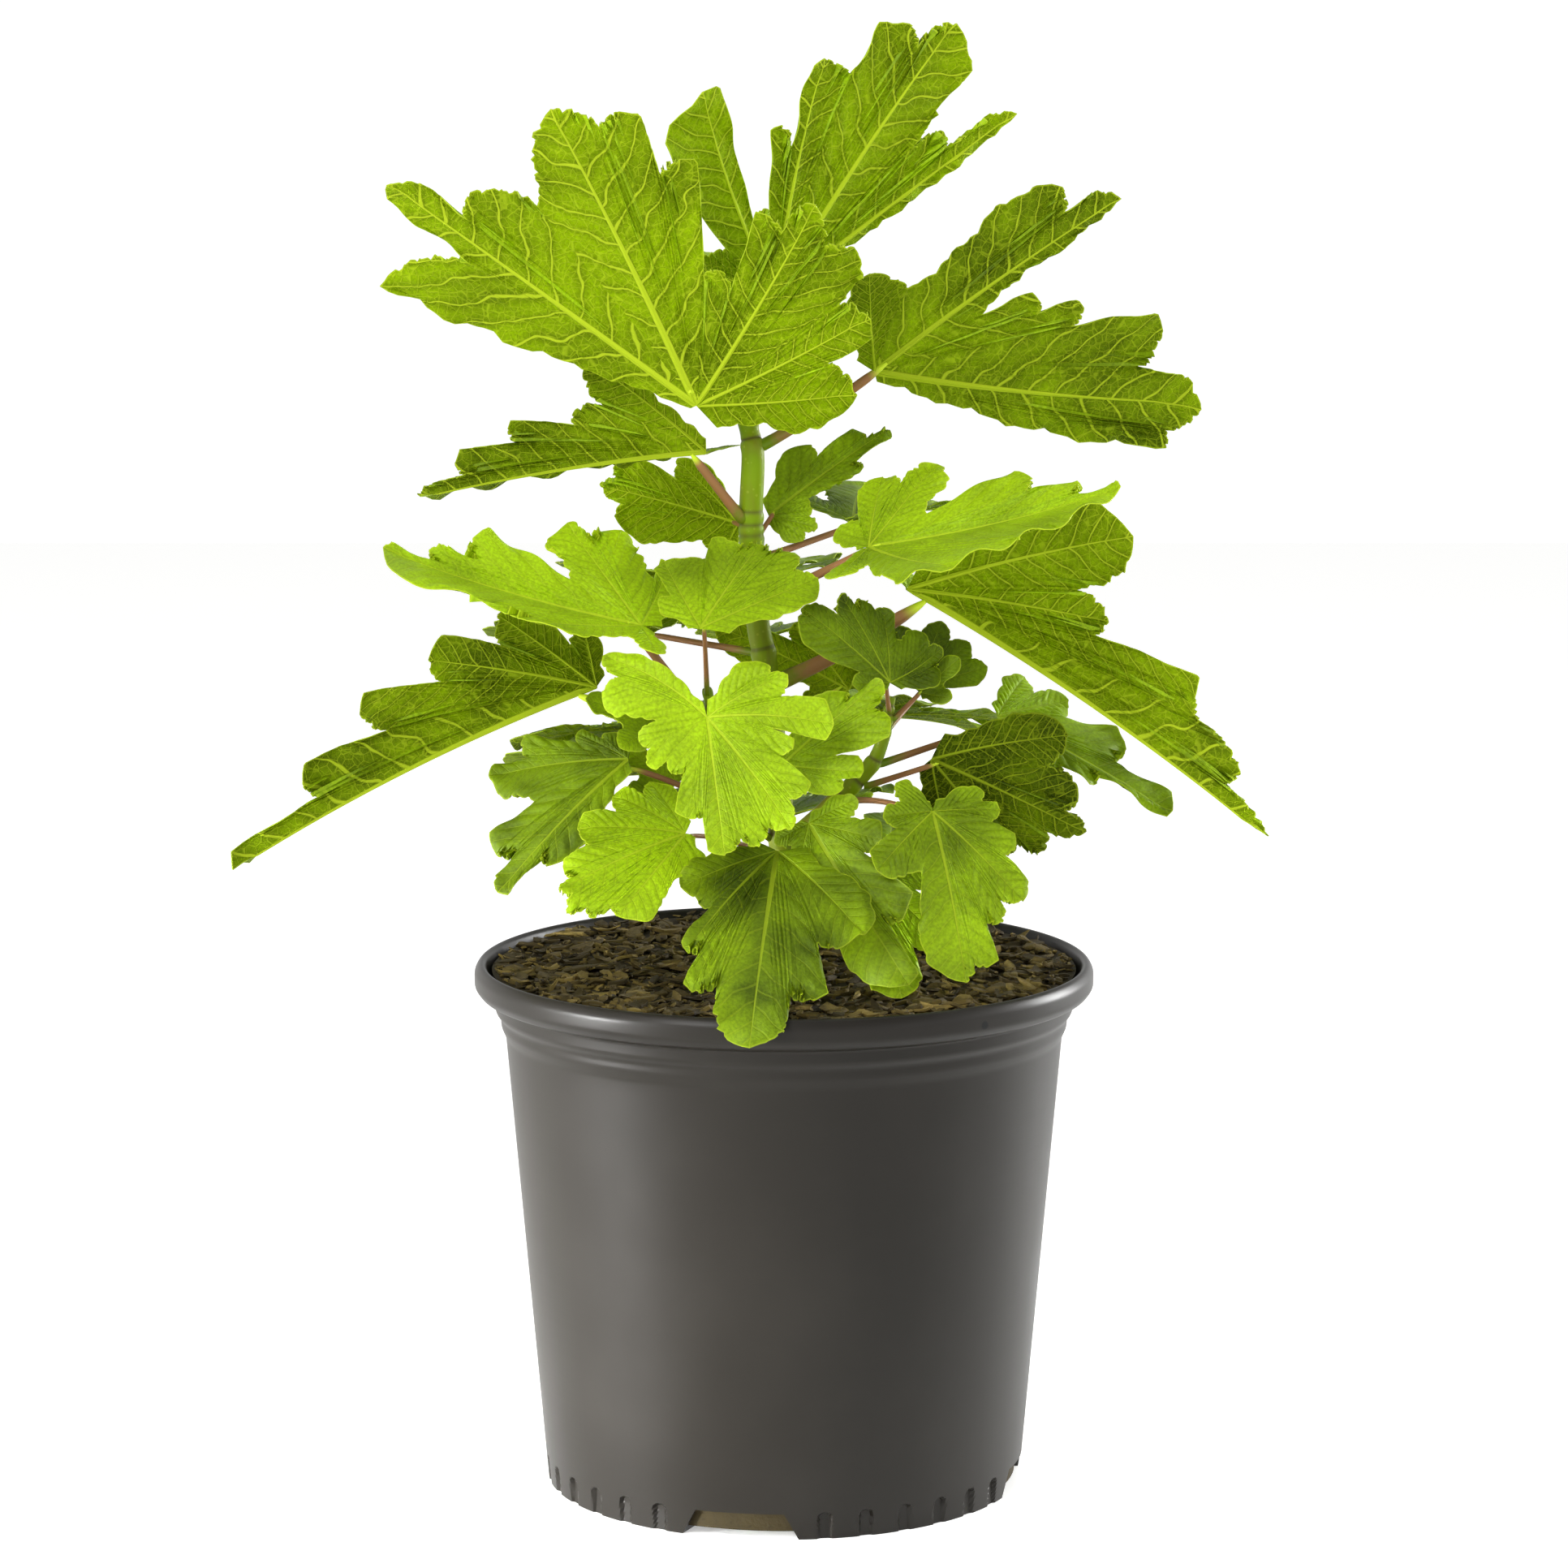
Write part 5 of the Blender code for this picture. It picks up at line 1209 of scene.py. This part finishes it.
def rounded(corners, cut, steps):
    """Corners cut back and joined by quadratic curves, so that a moulded edge catches light."""
    corners = np.array(corners, float)
    rows = [corners[:1]]
    t = np.linspace(0, 1, steps)[:, None]
    for before, corner, after in zip(corners[:-2], corners[1:-1], corners[2:]):
        near, far = before - corner, after - corner
        start = corner + near * min(0.45, cut / np.linalg.norm(near))
        end = corner + far * min(0.45, cut / np.linalg.norm(far))
        rows.append(start * (1 - t) ** 2 + corner * 2 * t * (1 - t) + end * t * t)
    return np.vstack(rows + [corners[-1:]])


def pot_rows():
    """The pot's section as rows of (radius, height) in mm, from under its floor to above it.

    With it come the numbers of the rows where a drain slot starts and ends, outside and in.
    """
    reach = np.linspace(SLOT_REACH, POT_FOOT, FLOOR_ROWS + 1)
    under = np.column_stack([np.concatenate([POT_MIDDLE_RINGS, reach]), np.zeros(FLOOR_ROWS + 4)])
    rise = np.linspace(0, SLOT_TOP, FOOT_ROWS + 1)[1:]
    wall = np.concatenate([rise, [12.6, 13.3, 16], np.linspace(30, 200, 8)])
    outside = np.column_stack([POT_FOOT + POT_LEAN * wall, wall])
    collar = rounded((outside[-1],) + POT_CORNERS + ((125.3, 200),), POT_ROUNDING,
                     POT_ROUND_STEPS)[1:-1]
    foot = np.linspace(SLOT_TOP, POT_FLOOR, FOOT_ROWS + 1)
    down = np.concatenate([np.linspace(200, 30, 6), foot])
    inside = np.column_stack([POT_FOOT + POT_LEAN * down - POT_WALL, down])
    floor = np.linspace(inside[-1, 0], SLOT_REACH, FLOOR_ROWS + 1)[1:]
    floor = np.concatenate([floor, POT_MIDDLE_RINGS[::-1]])
    floor = np.column_stack([floor, np.full(len(floor), POT_FLOOR)])
    rows = np.vstack([under, outside, collar, inside, floor])
    span = FLOOR_ROWS + FOOT_ROWS
    last = len(rows) - 4
    return rows, (3, 3 + span), (last - span, last)


def flute_share(turn, height):
    """How far each point of the outside lies in a flute, from 0 to 1.

    It is 0 outside |u| = 1 and above top - half * (1 - sqrt(1 - u^2)), u being the way
    across the flute, and rises to 1 over a narrow edge inside that arch.
    """
    nearest = np.clip(np.round((turn - FLUTE_FIRST) / FLUTE_STEP), 0, FLUTE_COUNT - 1)
    centre = FLUTE_FIRST + FLUTE_STEP * nearest
    across = np.abs(np.radians(turn - centre)) * POT_FOOT / FLUTE_HALF
    arch = FLUTE_TOP - FLUTE_HALF * (1 - np.sqrt(np.clip(1 - across ** 2, 0, 1)))
    return np.clip((1 - across) / FLUTE_EDGE, 0, 1) * np.clip((arch - height) / FLUTE_SILL, 0, 1)


def slotted_quads(rows, columns, outside, inside):
    """The pot's quads without its slots, and the ones that join out- and inside round each."""
    (low, high), (head, foot) = outside, inside
    index = np.arange(rows * columns).reshape(rows, columns)
    keep = np.ones((rows - 1, columns), bool)
    quads = []
    for start in range(0, columns, SLOT_COLUMNS + WALL_COLUMNS):
        end = start + SLOT_COLUMNS
        keep[low:high, start:end] = False
        keep[head:foot, start:end] = False
        outer = np.concatenate([index[high:low:-1, start], index[low, start:end],
                                index[low:high, end], index[high, end:start:-1]])
        inner = np.concatenate([index[head:foot, start], index[foot, start:end],
                                index[foot:head:-1, end], index[head, end:start:-1]])
        quads.append(np.stack([outer, np.roll(outer, -1), np.roll(inner, -1), inner], 1))
    quads.insert(0, grid_quads(rows, columns, wrap=True)[keep.reshape(-1)])
    return np.vstack(quads)


def pot_mesh():
    """The pot as radius(row) turned about Z, its columns gathered to each slot's sloped sides.

    A flute takes the outside's radius in to its own. Inside and outside are joined round each
    slot's edge.
    """
    rows, outside, inside = pot_rows()
    radius, height = rows[:, :1], rows[:, 1:]
    sill = np.clip((height + SLOT_BELOW) / (SLOT_TOP + SLOT_BELOW), 0, 1)
    half = SLOT_HALF[0] + (SLOT_HALF[1] - SLOT_HALF[0]) * sill
    turn = np.hstack([half * np.linspace(-1, 1, SLOT_COLUMNS + 1)[None, :-1],
                      half + (90 - 2 * half) * np.linspace(0, 1, WALL_COLUMNS + 1)[None, :-1]])
    share = flute_share(turn, height)
    share[len(rows) // 2:] = 0
    reach = np.tile(radius - share * np.clip(radius - FLUTE_RADIUS, 0, None), 4)
    turn = np.radians(np.hstack([turn + SLOT_FIRST + 90 * k for k in range(4)]))
    points = np.stack([reach * np.cos(turn), reach * np.sin(turn), height + 0 * turn], -1) * MM
    return points.reshape(-1, 3), slotted_quads(*turn.shape, outside, inside)


class FIG_OT_pot(bpy.types.Operator):
    """Turn the nursery pot, with its collar, rolled rim, drain slots and flutes"""
    bl_idname = "fig.pot"
    bl_label = "Pot"

    def execute(self, context):
        settings = context.scene.fig_tree.pot
        points, quads = pot_mesh()
        first, merged, corners = weld(points, quads)
        plastic = moulded_polyethylene(tuple(settings.plastic))
        piece = fill_mesh("nursery_pot", points[first], merged[corners], [plastic], crease=32)
        stand_for(piece, "pot")
        return {"FINISHED"}


class FIG_OT_mulch(bpy.types.Operator):
    """Lay the bark mulch over the potting mix"""
    bl_idname = "fig.mulch"
    bl_label = "Bark mulch"

    def execute(self, context):
        settings = context.scene.fig_tree.pot
        radius, top = (value * MM for value in SOIL_SIDE[0])
        bed, bed_quads = mulch_bed()
        chips, chip_quads, tone, grain = bark_chips(settings.chips, settings.chip_length,
                                                    radius, top)
        points = np.vstack([bed, chips])
        quads = np.vstack([bed_quads, chip_quads + len(bed)])
        first, merged, corners = weld(points, quads)
        tones = np.concatenate([np.full(len(bed), 0.05), tone])
        grains = np.vstack([bed[:, :2] / PATTERN_UNIT, grain])
        bark = pine_bark(tuple(settings.bark), tuple(settings.bark_light))
        piece = fill_mesh("bark_mulch", points[first], merged[corners], [bark],
                          maps={"grain": grains[corners.reshape(-1)]},
                          marks={"tone": tones[first]}, crease=38)
        stand_for(piece, "soil")
        return {"FINISHED"}


def mulch_bed():
    """The mix under the chips: a lumpy disc, banked up at its edge, on the solid's sides.

    Height = top + bank * (r / R)^4 + lump * sin(a * x + 2) * sin(b * y).
    """
    sides = np.array(SOIL_SIDE) * MM
    share = np.concatenate([[0], np.linspace(0, 1, BED_RINGS)[1:] ** 0.8])
    reach = np.concatenate([share * sides[0, 0], sides[1:, 0], [0]])[:, None]
    level = np.concatenate([0 * share + sides[0, 1], sides[1:, 1], sides[-1:, 1]])[:, None]
    turn = 2 * np.pi * np.arange(BED_SIDES) / BED_SIDES
    x = reach * np.cos(turn)
    y = reach * np.sin(turn)
    lumps = LUMP * np.sin(LUMP_TURNS[0] * x + 2) * np.sin(LUMP_TURNS[1] * y)
    lumps[0] = 0
    lumps[len(share) - 1:] = 0
    banked = np.concatenate([BANK * share ** 4, 0 * sides[:, 0]])[:, None]
    points = np.stack([x, y, level + lumps + banked], -1)
    return points.reshape(-1, 3), grid_quads(len(level), BED_SIDES, wrap=True)[:, ::-1]


def bark_chips(count, length, radius, top):
    """Flat flakes of bark: rings of a knobbly outline, bottom, edge and top, with flat caps.

    They lie on a sunflower spiral, jittered, each turned, tipped a little and given its own
    length, breadth and thickness.
    """
    rng = np.random.default_rng(CHIP_SEED)
    long = length * (0.22 + 0.78 * rng.random(count) ** 3)
    broad = long * (0.22 + 0.4 * rng.random(count))
    thick = np.minimum((0.7 + 1.6 * rng.random(count)) * MM, 0.5 * broad)
    spread = np.sqrt((np.arange(count) + 0.5) / count) * radius + rng.normal(0, 2 * MM, count)
    spread = np.clip(spread, 7 * MM, radius - 0.5 * long - 1 * MM)
    turn = np.arange(count) * SUNFLOWER_TURN + rng.normal(0, 0.06, count)
    angle = 2 * np.pi * np.arange(CHIP_SIDES) / CHIP_SIDES
    knob = 1 + 0.25 * rng.standard_normal((count, CHIP_SIDES)).clip(-1.3, 1.3)
    share, level = np.array(CHIP_RINGS).T[:, None, :, None]
    rough = 1 + 0.08 * rng.standard_normal((count, len(CHIP_RINGS), CHIP_SIDES)).clip(-1.5, 1.5)
    x = 0.5 * long[:, None, None] * share * (knob * np.cos(angle))[:, None] * rough
    y = 0.5 * broad[:, None, None] * share * (knob * np.sin(angle))[:, None] * rough
    z = thick[:, None, None] * (level + 0.12 * (rough - 1) * (share > 0)) + 0 * x
    bow = 0.2 * rng.standard_normal(count)[:, None, None]
    z = z + bow * x * x / (0.5 * long[:, None, None])
    grain = np.stack([x, y + z + rng.random(count)[:, None, None] * 3], -1) / PATTERN_UNIT
    yaw = rng.random(count) * 2 * np.pi
    tip = np.clip(rng.normal(0, 0.22, count), -2 * MM / long, 2 * MM / long)
    roll = rng.normal(0, 0.32, count)
    laid = np.stack([x, y, z], -1) @ turn_matrices(yaw, tip, roll)[:, None]
    home = np.stack([spread * np.cos(turn), spread * np.sin(turn),
                     top + BANK * (spread / radius) ** 4
                     + (0.2 + 2.6 * rng.random(count)) * MM], -1)
    points = (laid + home[:, None, None]).reshape(-1, 3)
    corners = len(CHIP_RINGS) * CHIP_SIDES
    block = grid_quads(len(CHIP_RINGS), CHIP_SIDES, wrap=True)
    quads = (block[None] + (np.arange(count) * corners)[:, None, None]).reshape(-1, 4)
    tone = np.where(rng.random(count) < 0.12, 0.95, 0.08 + 0.6 * rng.random(count) ** 1.6)
    return points, quads, tone.repeat(corners), grain.reshape(-1, 2)


def turn_matrices(yaw, tip, roll):
    """Rotation matrices for row vectors: roll about X, tip about Y, then yaw about Z."""
    def about(axis, angle):
        first, second = [k for k in range(3) if k != axis]
        matrix = np.zeros((len(angle), 3, 3))
        matrix[:, axis, axis] = 1
        matrix[:, first, first] = matrix[:, second, second] = np.cos(angle)
        matrix[:, first, second] = np.sin(angle)
        matrix[:, second, first] = -np.sin(angle)
        return matrix
    return about(0, roll) @ about(1, tip) @ about(2, yaw)


class FIG_OT_stage(bpy.types.Operator):
    """Set the floor, the lights and the camera"""
    bl_idname = "fig.stage"
    bl_label = "Stage"

    def execute(self, context):
        corners = np.array([[-1, -1, 0], [1, -1, 0], [1, 1, 0], [-1, 1, 0]], float) * FLOOR_HALF
        floor = fill_mesh("studio_floor", corners, np.array([[0, 1, 2], [0, 2, 3]]),
                          [lit_acrylic(linear("#F6F6F4"))])
        context.scene.world = studio_air()
        context.scene.view_settings.view_transform = "Standard"
        for box in SOFTBOXES:
            soft_light(*box)
        camera = bpy.data.cameras.new("photo_camera")
        camera.sensor_fit = "HORIZONTAL"
        camera.sensor_width = 36
        camera.lens = CAMERA_LENS
        view = bpy.data.objects.new("photo_camera", camera)
        view.location = CAMERA_AT
        view.rotation_euler = (radians(90 - CAMERA_TILT), 0, 0)
        context.scene.collection.objects.link(view)
        context.scene.camera = view
        return {"FINISHED"}


def studio_air():
    """White surround: bright near the horizon and dimmer overhead, as in front of a white sweep."""
    world = bpy.data.worlds.new("studio_air")
    world.use_nodes = True
    tree = world.node_tree
    upward = add_node(tree, "ShaderNodeTexCoord").outputs["Generated"]
    upward = add_node(tree, "ShaderNodeSeparateXYZ", {0: upward}).outputs["Z"]
    tree.links.new(ramp(tree, upward, 0.08, 0.6, 1.05, 0.5),
                   tree.nodes["Background"].inputs["Strength"])
    tree.nodes["Background"].inputs["Color"].default_value = (1, 1, 1, 1)
    return world


def soft_light(name, at, towards, width, height, watts, spread):
    """A softbox that looks at a point, its beam so many degrees wide, itself out of the picture."""
    lamp = bpy.data.lights.new(name, "AREA")
    lamp.shape = "RECTANGLE"
    lamp.size = width
    lamp.size_y = height
    lamp.energy = watts
    lamp.spread = radians(spread)
    holder = bpy.data.objects.new(name, lamp)
    holder.location = at
    aim = Vector(towards) - Vector(at)
    holder.rotation_euler = aim.to_track_quat("-Z", "Y").to_euler()
    holder.visible_camera = False
    bpy.context.scene.collection.objects.link(holder)


class FIG_PT_panel(bpy.types.Panel):
    """Everything that builds the potted fig tree"""
    bl_idname = "FIG_PT_panel"
    bl_label = "Potted Fig Tree"
    bl_space_type = "VIEW_3D"
    bl_region_type = "UI"
    bl_category = "Fig Tree"

    def draw(self, context):
        settings = context.scene.fig_tree
        for group in (settings.leaf, settings.stem, settings.pot):
            box = self.layout.box()
            for name in group.__annotations__:
                box.prop(group, name)
        for operator in OPERATORS:
            self.layout.operator(operator.bl_idname)


OPERATORS = (FIG_OT_pot, FIG_OT_mulch, FIG_OT_stem, FIG_OT_shown_leaves, FIG_OT_far_leaves,
             FIG_OT_stage)
CLASSES = (FigLeafSettings, FigStemSettings, FigPotSettings, FigSettings) + OPERATORS + (
    FIG_PT_panel,)


def register():
    """Add the classes and the scene's settings."""
    for kind in CLASSES:
        bpy.utils.register_class(kind)
    bpy.types.Scene.fig_tree = PointerProperty(type=FigSettings)


def unregister():
    """Take them out again."""
    del bpy.types.Scene.fig_tree
    for kind in reversed(CLASSES):
        bpy.utils.unregister_class(kind)


def main():
    """Build every piece in turn."""
    register()
    bpy.ops.fig.pot()
    bpy.ops.fig.mulch()
    bpy.ops.fig.stem()
    bpy.ops.fig.shown_leaves()
    bpy.ops.fig.far_leaves()
    bpy.ops.fig.stage()
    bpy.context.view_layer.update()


if __name__ == "__main__":
    main()
